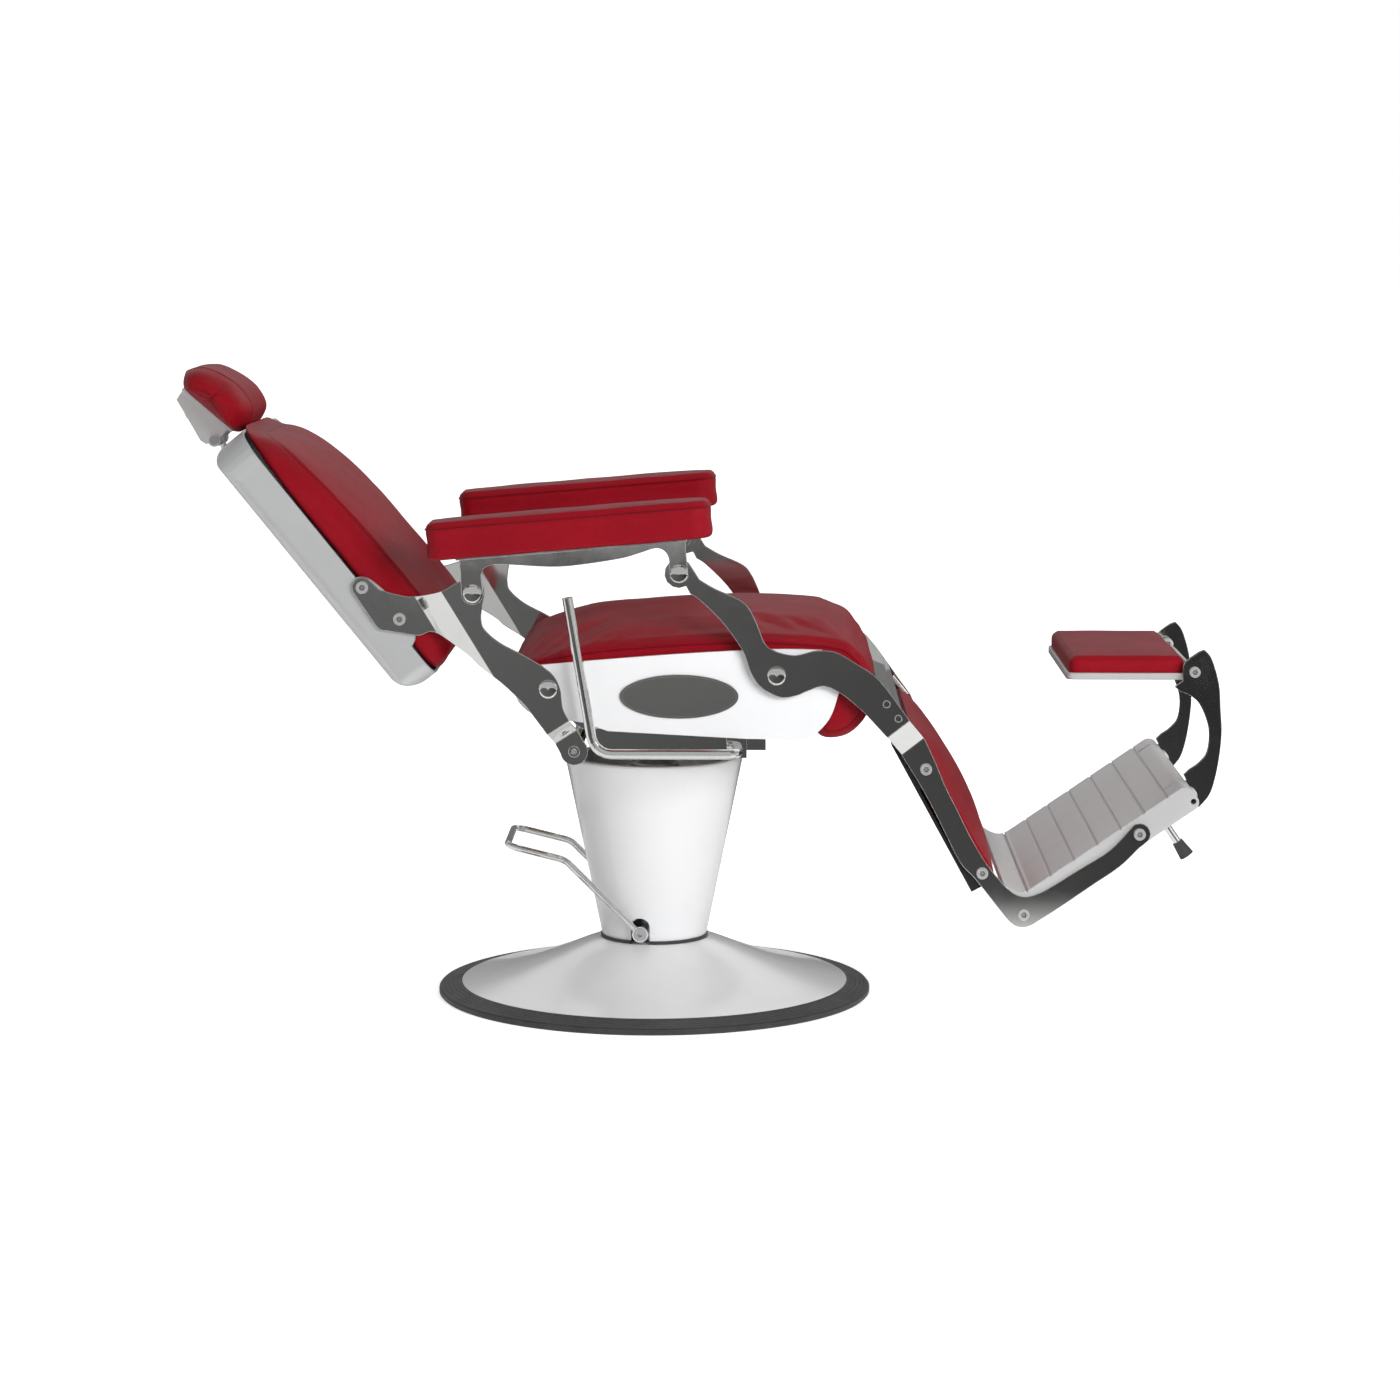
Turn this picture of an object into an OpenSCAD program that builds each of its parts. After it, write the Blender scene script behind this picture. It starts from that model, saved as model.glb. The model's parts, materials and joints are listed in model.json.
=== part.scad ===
// Hydraulic barber chair, shown fully reclined and at its lowest height.
// The chair faces +X, its right-hand side is -Y, and the floor is Z = 0 under the column's axis.

/* [Base] */
// Diameter over the rubber ring
base_d = 660; // [600:10:720]
// Width of the rubber ring
ring_w = 35; // [25:1:45]
// Height of the rubber ring at its outer edge
ring_edge_h = 10; // [8:1:14]
// Height of the rubber ring at its inner edge
ring_inner_h = 18; // [16:1:22]
// Sheet thickness of the dish
dish_wall = 3; // [2:0.5:4]
// Height of the dish at its neck
neck_z = 85; // [80:1:95]
// Radius of the dish at its neck
neck_r = 82; // [80:1:90]

/* [Column] */
// Height of the column cover's top edge
cover_top_z = 364; // [350:1:370]
// Outer radius of the column cover at its top
cover_top_r = 135; // [125:1:140]
// Wall of the column cover
cover_wall = 3; // [2:0.5:4]
// Thickness of the gasket under the column cover
gasket_t = 5; // [3:0.5:6]
// Outer radius of the pump body
pump_r = 50; // [46:1:60]
// Radius of the ram
ram_r = 32; // [28:1:36]
// Running clearance between a shaft and its bore
running_gap = 0.05; // [0.03:0.01:0.08]

/* [Pump pedal] */
// Place of the pedal's axle, X
pedal_x = -19; // [-24:1:-15]
// Place of the pedal's axle, Z
pedal_z = 103; // [101:1:108]
// Radius of the pedal's axle
axle_r = 8; // [6:0.5:9]
// Half the distance between the pedal's two bars
pedal_half = 88.5; // [87:0.5:95]
// Radius of the pedal's bar
pedal_bar_r = 5; // [4:0.5:6]
// Length of the pedal's steep run
pedal_run = 160; // [140:2:180]
// Length of the pedal's tread run
pedal_tread = 90; // [70:2:100]

/* [Linkage] */
// Rear seat pivot
pivot_a = [-145, 500];
// Front seat pivot
pivot_b = [185, 520];
// Rear arm pivot
pivot_c = [-253, 639];
// Front arm pivot
pivot_d = [44, 668];
// Cross shaft that the gas spring pushes
pivot_q = [-109, 406];
// Thickness of every link plate
plate_t = 6; // [5:0.5:7]
// Distance from the middle to the outer face of the outer links
link_y = 283; // [281:1:290]
// Distance from the middle to the outer face of the leg plates
leg_y = 262; // [258:1:264]
// Radius of the pivot pins
pin_r = 6; // [5:0.5:7]
// Radius of the pivots' domed caps
cap_r = 13.5; // [12:0.5:15]
// Height of the pivots' domed caps
cap_h = 6; // [5:0.5:8]
// Play of the front arm pivot, where the four-bar loop closes
loop_play = 0.9; // [0.8:0.1:1.5]
// Play between two plates that turn face to face
side_play = 0.5; // [0.4:0.1:0.8]

/* [Seat] */
// Length of the seat cushion with its front roll
seat_l = 534; // [510:2:550]
// Height of the seat cushion above the seat board
seat_t = 123; // [110:1:130]
// Half width of the seat shell
shell_y = 268; // [266:1:270]
// Wall of the seat shell
shell_wall = 6; // [4:0.5:6]
// Height of the seat frame's base plate
frame_z = 384; // [382:1:388]
// Thickness of the seat board
board_t = 12; // [9:1:15]
// Height of the seat board's underside
board_z = 470; // [466:1:474]
// Crown of the seat cushion from its sides to its middle
seat_crown = 28; // [15:1:35]
// Half length of the oval side plate
badge_a = 86; // [70:1:95]
// Half height of the oval side plate
badge_b = 32; // [25:1:36]

/* [Recline lever] */
// Place of the lever's shaft, X
lever_x = 128; // [122:1:130]
// Place of the lever's shaft, Z
lever_z = 408; // [406:1:412]
// Radius of the lever's bar
lever_r = 7.5; // [6:0.5:8]
// Distance of the lever from the middle
lever_y = 300; // [299:1:306]

/* [Back] */
// Lean of the back from the vertical
back_lean = 38.8; // [30:0.2:45]
// Rear lower corner of the back shell
back_foot = [-357, 480];
// Height of the back shell
back_h = 451; // [430:1:470]
// Half width of the back shell
back_half = 234; // [225:1:234]
// Depth of the back shell
back_depth = 56; // [50:1:60]
// Wall of the back shell
back_wall = 4; // [3:0.5:5]
// Thickness of the back cushion at its sides
back_side_t = 48; // [40:1:52]
// Crown of the back cushion
back_crown = 30; // [20:1:34]

/* [Headrest] */
// Lean of the headrest cushion against the back
head_turn = 10.6; // [4:0.2:16]
// Place of the headrest cushion's lower rear corner, from the back shell's upper rear corner
head_offset = [30, 3.2];
// Height of the headrest cushion
head_h = 122; // [110:1:130]
// Half width of the headrest cushion
head_half = 130; // [110:1:140]
// Thickness of the headrest cushion
head_t = 68; // [60:1:74]
// Width of the headrest's stem
stem_w = 40; // [30:1:50]
// Thickness of the headrest's stem
stem_t = 6; // [5:0.5:8]

/* [Arms] */
// Tilt of the arm pads against the line through their pivots
arm_tilt = -0.8; // [-3:0.1:3]
// Length of an arm pad
arm_l = 408; // [390:1:415]
// Width of an arm pad
arm_w = 90; // [80:1:94]
// Height of an arm pad
arm_h = 57; // [45:1:60]
// Distance from the middle to the middle of an arm pad
arm_mid = 300; // [298:1:304]

/* [Leg rest] */
// Lean of the calf cushion from the vertical
calf_lean = 28.7; // [24:0.2:32]
// Length of the calf cushion
calf_l = 286; // [270:1:290]
// Half width of the calf cushion
calf_half = 242; // [225:1:244]
// Thickness of the calf cushion at its sides
calf_side_t = 37; // [28:1:38]
// Crown of the calf cushion
calf_crown = 19; // [12:1:26]

/* [Footrest] */
// Rise of the tread above the horizontal
tread_rise = 34.5; // [30:0.5:38]
// Length of the tread from its heel to its end
tread_l = 281; // [270:1:290]
// Half width of the tread
tread_half = 255.5; // [252:0.5:255.5]
// Depth of the cast end of the tread
tread_depth = 38; // [32:1:40]
// Wall of the tread casting
tread_wall = 6; // [4:0.5:8]
// Number of cross grooves
groove_n = 7; // [5:1:7]
// Distance between cross grooves
groove_pitch = 40.9; // [36:0.1:41]
// Half the distance between the two curved arms
crescent_y = 190; // [180:1:195]
// Half width of the foot cushion
foot_half = 181; // [165:1:181]
// Length of the foot cushion's tray
foot_l = 195; // [180:1:200]

/* [Hidden] */

$fn = 64;
red = [0.58, 0.08, 0.12];
chrome = [0.55, 0.56, 0.55];
white = [0.94, 0.94, 0.95];
black = [0.12, 0.12, 0.12];
cast = [0.66, 0.65, 0.66];
steel = [0.45, 0.46, 0.47];
soft_gap = 0.3;
bore_slack = 0.02;

// ---------- shared functions ----------

// Catmull-Rom curve through a few points, with steps per span
function curve(p, steps = 5) = [
    for (i = [0 : len(p) - 2]) for (k = [0 : steps - 1])
        let (t = k / steps, a = p[max(i - 1, 0)], b = p[i], c = p[i + 1], d = p[min(i + 2, len(p) - 1)])
        0.5 * (2 * b + (c - a) * t + (2 * a - 5 * b + 4 * c - d) * t * t
            + (3 * b - 3 * c + d - a) * t * t * t),
    p[len(p) - 1]];

// Points of an arc round a centre
function arc(centre, r, from, to, steps = 8) = [
    for (i = [0 : steps]) let (a = from + (to - from) * i / steps) centre + r * [cos(a), sin(a)]];

// Rounded rectangle, counter-clockwise, with a radius for the low-X and for the high-X corners
function slab(x0, x1, half, r_low, r_high, steps = 6) = concat(
    arc([x1 - r_high, -half + r_high], r_high, -90, 0, steps),
    arc([x1 - r_high, half - r_high], r_high, 0, 90, steps),
    arc([x0 + r_low, half - r_low], r_low, 90, 180, steps),
    arc([x0 + r_low, -half + r_low], r_low, 180, 270, steps));

function unit(v) = v / norm(v);

// Each point moved inwards by d, for a counter-clockwise outline
function inset(p, d) = [
    for (i = [0 : len(p) - 1])
        let (t = unit(p[(i + 1) % len(p)] - p[(i + len(p) - 1) % len(p)])) p[i] + d * [-t[1], t[0]]];

// A point of a frame that is turned by angle a about Y and stands at o
function placed(o, a, x, z) = [o[0] + x * cos(a) - z * sin(a), o[1] + x * sin(a) + z * cos(a)];

// Direction of the line from a to b
function slope(a, b) = atan2(b[1] - a[1], b[0] - a[0]);

// Points beside the line from a to b: each is [share of the way, distance to the left]
function beside(a, b, list) = let (u = unit(b - a))
    [for (q = list) a + q[0] * (b - a) + q[1] * [-u[1], u[0]]];

// ---------- shared modules ----------

// A flat plate in the XZ plane, from y = outer to y = outer + t
module plate_at(outer, t) {
    translate([0, outer + t, 0]) rotate([90, 0, 0]) linear_extrude(t) children();
}

// A round bar along Y
module cross_bar(at, r, y0, y1) {
    translate([at[0], y0, at[1]]) rotate([-90, 0, 0]) cylinder(r = r, h = y1 - y0);
}

module mirrored() {
    children();
    mirror([0, 1, 0]) children();
}

// Stands a piece in a frame leaned back by an angle
module leaned(o, a) {
    translate([o[0], 0, o[1]]) rotate([0, -a, 0]) children();
}

// The offset bend that joins two parallel stretches of a plate
module joggle(at, a, run, width, y0, y1, t, tab = 3) {
    translate([at[0], 0, at[1]]) rotate([0, a, 0]) translate([0, 0, -width / 2])
        linear_extrude(width) polygon([[-tab, y0 + 0.3], [1, y0], [run - 1, y1],
            [run + tab, y1 + 0.3], [run + tab, y1 + t - 0.3], [run - 1, y1 + t], [1, y0 + t],
            [-tab, y0 + t - 0.3]]);
}

// Points of a line through corners p, with an arc of radius bends[i - 1] at each inner corner
function bent(p, bends, steps = 5) = concat([p[0]],
    [for (i = [1 : len(p) - 2]) let (
        u = unit(p[i] - p[i - 1]), v = unit(p[i + 1] - p[i]), turn = acos(u * v), r = bends[i - 1],
        w = unit(v - (v * u) * u), o = p[i] - r * tan(turn / 2) * u + r * w)
        for (k = [0 : steps]) let (a = turn * k / steps) o + r * (sin(a) * u - cos(a) * w)],
    [p[len(p) - 1]]);

// One normal per point, carried along the line without twist
function carried(t, i, n) = i == len(t) ? [] :
    let (m = unit(n - (n * t[i]) * t[i])) concat([m], carried(t, i + 1, m));

// A round bar along a line of points
module bar_along(line, r, k = 18) {
    n = len(line);
    t = [for (i = [0 : n - 1]) unit(line[min(i + 1, n - 1)] - line[max(i - 1, 0)])];
    up = carried(t, 0, [0.3, 0.2, 1]);
    pts = concat([for (i = [0 : n - 1]) for (j = [0 : k - 1]) let (a = 360 * j / k)
        line[i] + r * (cos(a) * up[i] + sin(a) * cross(t[i], up[i]))], [line[0], line[n - 1]]);
    faces = concat(
        [for (i = [0 : n - 2]) for (j = [0 : k - 1]) for (half = [0, 1])
            let (a = i * k + j, b = i * k + (j + 1) % k) half == 0 ? [a, a + k, b + k] : [a, b + k, b]],
        [for (j = [0 : k - 1]) [n * k, j, (j + 1) % k]],
        [for (j = [0 : k - 1]) [n * k + 1, (n - 1) * k + (j + 1) % k, (n - 1) * k + j]]);
    polyhedron(points = pts, faces = faces, convexity = 4);
}

// A closed form from an outline: side rings of [inset, height], then cap rings that close in
// on the middle with a crown, where lift(p) shifts a point of the top by its place
module pad(outline, sides, caps, crown, middle, lift = function(p) 0) {
    n = len(outline);
    top_z = sides[len(sides) - 1][1];
    low_z = sides[0][1];
    edge = inset(outline, sides[len(sides) - 1][0]);
    share = function(z) (z - low_z) / (top_z - low_z);
    side_pts = [for (s = sides) for (q = inset(outline, s[0]))
        [q[0], q[1], s[1] + share(s[1]) * lift(q)]];
    cap_pts = [for (k = caps) for (q = edge) let (w = middle + (q - middle) * k)
        [w[0], w[1], top_z + crown * sqrt(1 - k * k) + lift(w)]];
    pts = concat(side_pts, cap_pts,
        [[middle[0], middle[1], low_z], [middle[0], middle[1], top_z + crown + lift(middle)]]);
    rows = len(sides) + len(caps);
    faces = concat(
        [for (i = [0 : rows - 2]) for (j = [0 : n - 1]) for (half = [0, 1])
            let (a = i * n + j, b = i * n + (j + 1) % n) half == 0 ? [a, a + n, b + n] : [a, b + n, b]],
        [for (j = [0 : n - 1]) [rows * n, j, (j + 1) % n]],
        [for (j = [0 : n - 1]) [rows * n + 1, (rows - 1) * n + (j + 1) % n, (rows - 1) * n + j]]);
    polyhedron(points = pts, faces = faces, convexity = 4);
}

// A side profile drawn in by d, of which a share goes straight to the middle
function drawn_in(p, d, middle, share) = [for (q = inset(p, d * (1 - share)))
    let (v = middle - q) q + v * min(0.9, share * d / norm(v))];

// A closed form swept along Y from a side profile, with rounded ends and a crown across the width;
// drop(p) is how much of the crown a profile point takes part in
module bolster(profile, half, end_r, crown, middle, drop, flats = 3, round_steps = 4, gather = 0) {
    n = len(profile);
    ends = [for (i = [0 : round_steps]) let (a = 90 * i / round_steps)
        [end_r * (1 - sin(a)), half - end_r * (1 - cos(a))]];
    rows = concat([for (e = ends) [e[0], -e[1]]],
        [for (i = [1 : 2 * flats - 1]) [0, (half - end_r) * (i / flats - 1)]],
        [for (i = [round_steps : -1 : 0]) ends[i]]);
    fall = function(y) crown * pow(abs(y) / half, 2.4);
    pts = concat([for (s = rows) for (q = drawn_in(profile, s[0], middle, gather))
        [q[0], s[1], q[1] - drop(q) * fall(s[1])]],
        [[middle[0], rows[0][1], middle[1]], [middle[0], -rows[0][1], middle[1]]]);
    m = len(rows);
    faces = concat(
        [for (i = [0 : m - 2]) for (j = [0 : n - 1]) for (half_quad = [0, 1])
            let (a = i * n + j, b = i * n + (j + 1) % n)
            half_quad == 0 ? [a, b + n, a + n] : [a, b, b + n]],
        [for (j = [0 : n - 1]) [m * n, (j + 1) % n, j]],
        [for (j = [0 : n - 1]) [m * n + 1, (m - 1) * n + j, (m - 1) * n + (j + 1) % n]]);
    polyhedron(points = pts, faces = faces, convexity = 4);
}

// A pivot pin with a domed cap at its outer end, on the -Y side
module capped_pin(at, y_in, y_cap, shaft_r) {
    cross_bar(at, shaft_r, -y_cap, -y_in);
    translate([at[0], -y_cap, at[1]]) rotate([90, 0, 0]) rotate_extrude()
        polygon(concat([[0, 0], [cap_r, 0]],
            curve([[cap_r, cap_h * 0.35], [cap_r * 0.8, cap_h * 0.85], [0, cap_h]], 4)));
}

// A low screw head with a hexagon socket, facing -Y, with its shank behind it
module socket_screw(at, y_face, head_r, head_h, shank_r, shank_l) {
    socket_depth = head_h * 0.55;
    difference() {
        union() {
            cross_bar(at, head_r, -y_face - head_h, -y_face);
            cross_bar(at, shank_r, -y_face - 0.1, -y_face + shank_l);
        }
        translate([at[0], -y_face - head_h + socket_depth, at[1]]) rotate([90, 0, 0])
            cylinder(r = head_r * 0.5, h = socket_depth + 1, $fn = 6);
    }
}

// ---------- base ----------

ring_r = base_d / 2;
dish_r = ring_r - ring_w;
foot_recess = 4;

module base_ring() {
    groove_w = 1.4;
    grooves = 4;
    slope = (ring_inner_h - ring_edge_h) / ring_w;
    top = function(r) ring_edge_h + (ring_r - r) * slope;
    lip = 12;
    color(black) rotate_extrude($fn = 128)
        polygon(concat(
            [[dish_r - lip, 0], [ring_r - 2, 0], [ring_r, 2], [ring_r, ring_edge_h - 2],
                [ring_r - 2, top(ring_r - 2)]],
            [for (i = [1 : grooves]) for (q = [[0.5, 0], [0, -0.9], [-0.5, 0]])
                let (r = ring_r - 2 - i * (ring_w - 6) / (grooves + 0.5) + q[0] * groove_w)
                [r, top(r) + q[1]]],
            [[dish_r + 1, ring_inner_h], [dish_r, ring_inner_h - 1],
                [dish_r, ring_inner_h - dish_wall], [dish_r - lip, ring_inner_h - dish_wall]]));
}

// Profile of the dish's outer face, from its rim to its neck
function dish_face() = curve([[dish_r - bore_slack, ring_inner_h], [dish_r - 45, ring_inner_h + 10],
    [dish_r - 95, ring_inner_h + 24], [dish_r - 145, ring_inner_h + 42],
    [neck_r + 26, neck_z - 8], [neck_r + 2, neck_z]], 4);

module base_dish() {
    face = dish_face();
    color(white) rotate_extrude($fn = 128)
        polygon(concat(face, [[cover_seat_r, neck_z], [cover_seat_r, neck_z - dish_wall]],
            [for (i = [len(face) - 1 : -1 : 0]) face[i] - [0, dish_wall]]));
}

cover_seat_r = neck_r - 22;
ballast_r = dish_r - 60;
ballast_top = 14;

module ballast_plate() {
    color(steel) difference() {
        translate([0, 0, foot_recess]) cylinder(r = ballast_r, h = ballast_top - foot_recess, $fn = 96);
        for (a = [45 : 90 : 315]) rotate(a) translate([pump_r + 14, 0, 0])
            cylinder(r = 5, h = 40, $fn = 24);
    }
    // spokes of flat bar that tie the plate to the dish's rim
    color(steel) for (a = [0 : 60 : 300]) rotate(a)
        translate([ballast_r - 4, -15, foot_recess + 0.5])
        cube([dish_r - 12 - ballast_r + 4 - 1.2, 30, ballast_top - foot_recess - 4]);
}

cover_base_z = neck_z + gasket_t;
cover_base_r = neck_r - 2;

module column_gasket() {
    color(black) translate([0, 0, neck_z]) difference() {
        cylinder(r = neck_r, h = gasket_t, $fn = 96);
        translate([0, 0, -1]) cylinder(r = cover_seat_r, h = gasket_t + 2, $fn = 96);
        for (s = [-1, 1]) translate([pedal_x - slot_r, s > 0 ? pump_r + 6 : -neck_r - 5, -1])
            cube([2 * slot_r, neck_r - pump_r, gasket_t + 2]);
    }
}

slot_r = 14;
slot_top = cover_base_z + 36;

module column_cover() {
    roll = 4;
    slope = (cover_top_r - cover_base_r) / (cover_top_z - cover_base_z);
    foot_flange = 8;
    color(white) difference() {
        rotate_extrude($fn = 128) polygon(concat(
            [[cover_base_r - foot_flange, cover_base_z], [cover_base_r, cover_base_z]],
            arc([cover_top_r - roll, cover_top_z - roll], roll, 0, 90, 5),
            [[cover_top_r - 14, cover_top_z], [cover_top_r - 14, cover_top_z - cover_wall],
                [cover_top_r - roll - cover_wall * 0.4, cover_top_z - cover_wall],
                [cover_top_r - cover_wall - 1, cover_top_z - roll - 2],
                [cover_base_r - cover_wall + slope * cover_wall, cover_base_z + cover_wall],
                [cover_base_r - foot_flange, cover_base_z + cover_wall]]));
        for (s = [-1, 1]) translate([pedal_x, 0, 0]) {
            translate([0, 0, slot_top - slot_r]) rotate([-90 * s, 0, 0])
                cylinder(r = slot_r, h = cover_top_r);
            translate([-slot_r, s > 0 ? 0 : -cover_top_r, cover_base_z - 1])
                cube([2 * slot_r, cover_top_r, slot_top - slot_r - cover_base_z + 1]);
        }
    }
}

pump_top = cover_top_z - 20;
pump_floor = 128;
gland_h = 24;

module pump_body() {
    foot_r = pump_r + 24;
    foot_h = 12;
    color(steel) difference() {
        union() {
            translate([0, 0, ballast_top]) cylinder(r = foot_r, h = foot_h);
            translate([0, 0, ballast_top]) cylinder(r = pump_r, h = pump_top - ballast_top);
            translate([0, 0, pump_top]) cylinder(r1 = pump_r - 4, r2 = ram_r + 6, h = 8);
        }
        translate([0, 0, pump_floor]) cylinder(r = ram_r + 3, h = pump_top - pump_floor - gland_h);
        translate([0, 0, pump_floor]) cylinder(r = ram_r + running_gap, h = cover_top_z);
        cross_bar([pedal_x, pedal_z], axle_r + running_gap, -pump_r - 1, pump_r + 1);
        for (a = [45 : 90 : 315]) rotate(a) translate([pump_r + 14, 0, 0])
            cylinder(r = 5, h = 60, $fn = 24);
    }
}

// ---------- pedal ----------

pedal_rise = 45;
pedal_flat = 14;
eye_r = 12;
pedal_knee = [pedal_x - pedal_run * cos(pedal_rise), pedal_z + pedal_run * sin(pedal_rise)];
pedal_tip = pedal_knee + pedal_tread * [-cos(pedal_flat), sin(pedal_flat)];

module pump_pedal() {
    from_eye = [pedal_x, pedal_z] + (eye_r - 3.5) * [-cos(pedal_rise), sin(pedal_rise)];
    side = [from_eye, pedal_knee, pedal_tip];
    color(chrome) difference() {
        union() {
            mirrored() cross_bar([pedal_x, pedal_z], eye_r, -pedal_half - 6, -pedal_half + 6);
            bar_along(bent([for (s = [-1, 1]) for (q = s < 0 ? side : [side[2], side[1], side[0]])
                [q[0], s * pedal_half, q[1]]], [34, 22, 22, 34]), pedal_bar_r);
        }
        cross_bar([pedal_x, pedal_z], axle_r + bore_slack, -pedal_half - 10, pedal_half + 10);
    }
}

module pedal_axle() {
    head_t = 2.5;
    socket_r = 3.5;
    end = pedal_half + 6.1;
    color(steel) difference() {
        union() {
            cross_bar([pedal_x, pedal_z], axle_r, -end, end);
            mirrored() cross_bar([pedal_x, pedal_z], axle_r + 2, -end - head_t, -end);
        }
        mirrored() translate([pedal_x, -pedal_half - 3, pedal_z]) rotate([90, 0, 0])
            cylinder(r = socket_r, h = 10, $fn = 6);
    }
}

// ---------- ram and swivel ----------

ram_shoulder = frame_z - 14;
bearing_t = 3;
hub_flange_t = 10;
hub_r = 38;
spindle_r = 20;

module pump_ram() {
    flange_h = 6;
    color(chrome) union() {
        translate([0, 0, pump_floor + 2]) cylinder(r = ram_r, h = ram_shoulder - pump_floor - 2);
        translate([0, 0, ram_shoulder - flange_h]) cylinder(r = ram_r + 14, h = flange_h);
        translate([0, 0, ram_shoulder - 1]) cylinder(r = spindle_r, h = hub_flange_t + 30);
        translate([0, 0, frame_z + 22]) cylinder(r = spindle_r - 6, h = 8);
    }
}

module swivel_bearing() {
    color(steel) translate([0, 0, ram_shoulder]) difference() {
        cylinder(r = ram_r + 10, h = bearing_t);
        translate([0, 0, -1]) cylinder(r = spindle_r + 0.5, h = bearing_t + 2);
    }
}

module swivel_hub() {
    color(steel) difference() {
        union() {
            translate([0, 0, frame_z - hub_flange_t]) cylinder(r = 90, h = hub_flange_t);
            translate([0, 0, frame_z - hub_flange_t]) cylinder(r = hub_r, h = hub_flange_t + 20);
        }
        translate([0, 0, frame_z - 20]) cylinder(r = spindle_r + running_gap, h = 60);
        hub_holes(hub_screw_r + 0.3);
    }
}

hub_pcd = 140;
hub_screw_r = 5;

module hub_holes(r) {
    for (a = [45 : 90 : 315]) rotate(a) translate([hub_pcd / 2, 0, frame_z - 30])
        cylinder(r = r, h = 60, $fn = 24);
}

module hub_screws() {
    color(steel) for (a = [45 : 90 : 315]) rotate(a) translate([hub_pcd / 2, 0, 0]) {
        translate([0, 0, frame_z - hub_flange_t - 3])
            cylinder(r = hub_screw_r, h = hub_flange_t + base_plate_t + 3, $fn = 24);
        translate([0, 0, frame_z + base_plate_t]) difference() {
            cylinder(r = hub_screw_r + 3.5, h = 7, $fn = 32);
            translate([0, 0, 3]) cylinder(r = 4, h = 8, $fn = 6);
        }
    }
}

// ---------- seat ----------

base_plate_t = 8;
frame_half = shell_y - shell_wall;
rail_t = 6;
member_h = 30;
member_z = board_z - member_h;
front_member_x = 150;
rear_member_x = -68;
member_w = 40;
wall_t = 4;

module seat_frame() {
    riser_half = 84;
    rail_h = 66;
    color(steel) difference() {
        union() {
            // side rails that carry the four seat pivots
            mirrored() plate_at(-frame_half, rail_t) union() {
                translate(pivot_a) circle(r = 26);
                translate(pivot_b) circle(r = 30);
                polygon([pivot_a + [-14, 22], pivot_a + [0, -24], [rear_member_x - 30, member_z],
                    [front_member_x + 30, member_z], pivot_b + [10, -28], pivot_b + [12, 26]]);
            }
            // two hollow cross members
            for (x = [rear_member_x, front_member_x])
                translate([x - member_w / 2, -frame_half + rail_t - 1, member_z])
                    cube([member_w, 2 * (frame_half - rail_t + 1), member_h]);
            // base plate and two risers
            translate([rear_member_x - 20, -riser_half - 8, frame_z])
                cube([front_member_x - rear_member_x + 40, 2 * riser_half + 16, base_plate_t]);
            mirrored() translate([rear_member_x - 20, -riser_half - 8, frame_z])
                cube([front_member_x - rear_member_x + 40, 8, member_z - frame_z + 2]);
            // clevis for the gas spring's rod
            for (y = [gas_y - 17, gas_y + 11]) plate_at(y, 6) union() {
                translate(gas_anchor) circle(r = 13);
                polygon([gas_anchor + [-13, 0], gas_anchor + [13, 0],
                    [front_member_x + 18, member_z + 1], [front_member_x - 18, member_z + 1]]);
            }
        }
        for (x = [rear_member_x, front_member_x])
            translate([x - member_w / 2 + wall_t, -frame_half - 1, member_z + wall_t])
                cube([member_w - 2 * wall_t, 2 * frame_half + 2, member_h - 2 * wall_t]);
        for (p = [pivot_a, pivot_b])
            cross_bar(p, pin_r + bore_slack, -frame_half - 1, frame_half + 1);
        cross_bar([lever_x, lever_z], lever_r - 0.5 + running_gap, -riser_half - 9, riser_half + 9);
        cross_bar(gas_anchor, gas_pin_r + bore_slack, gas_y - 20, gas_y + 20);
        translate([0, 0, frame_z - 1]) cylinder(r = hub_r + 1, h = base_plate_t + 2);
        hub_holes(hub_screw_r + 0.3);
    }
}

module gas_spring_pin() {
    color(steel) {
        cross_bar(gas_anchor, gas_pin_r, gas_y - 19, gas_y + 17);
        cross_bar(gas_anchor, gas_pin_r + 3, gas_y + 17, gas_y + 20);
    }
}

// Side outline of the seat shell
function shell_outline() = concat(
    curve([[-163, 533], [-60, 542], [60, 551], [180, 557], [250, 556]], 4),
    curve([[272, 545], [281, 525], [274, 490], [262, 456], [240, 432], [222, 425]], 4),
    [[142, 426], [-60, 437]],
    curve([[-92, 449], [-130, 454], [-165, 460], [-188, 478], [-194, 500], [-184, 525]], 4));

module seat_shell() {
    rear_cut = -150;
    color(white) difference() {
        union() {
            mirrored() plate_at(-shell_y, shell_wall) polygon(shell_outline());
            // rear wall, between the two sides
            intersection() {
                plate_at(-shell_y, 2 * shell_y) difference() {
                    polygon(shell_outline());
                    offset(delta = -shell_wall) polygon(shell_outline());
                }
                translate([-300, -shell_y, 400]) cube([300 + rear_cut, 2 * shell_y, board_z + board_t - 402]);
            }
        }
        for (p = [pivot_a, pivot_b]) mirrored()
            cross_bar(p, pin_r + 0.4, -shell_y - 1, -shell_y + shell_wall + 1);
    }
}

board_front = 232;
board_rear = -163;
seat_rear = board_front - 439;

module seat_board() {
    half = frame_half - rail_t - 6;
    color("burlywood") translate([board_rear, -half, board_z])
        cube([board_front - board_rear, 2 * half, board_t]);
}

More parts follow.
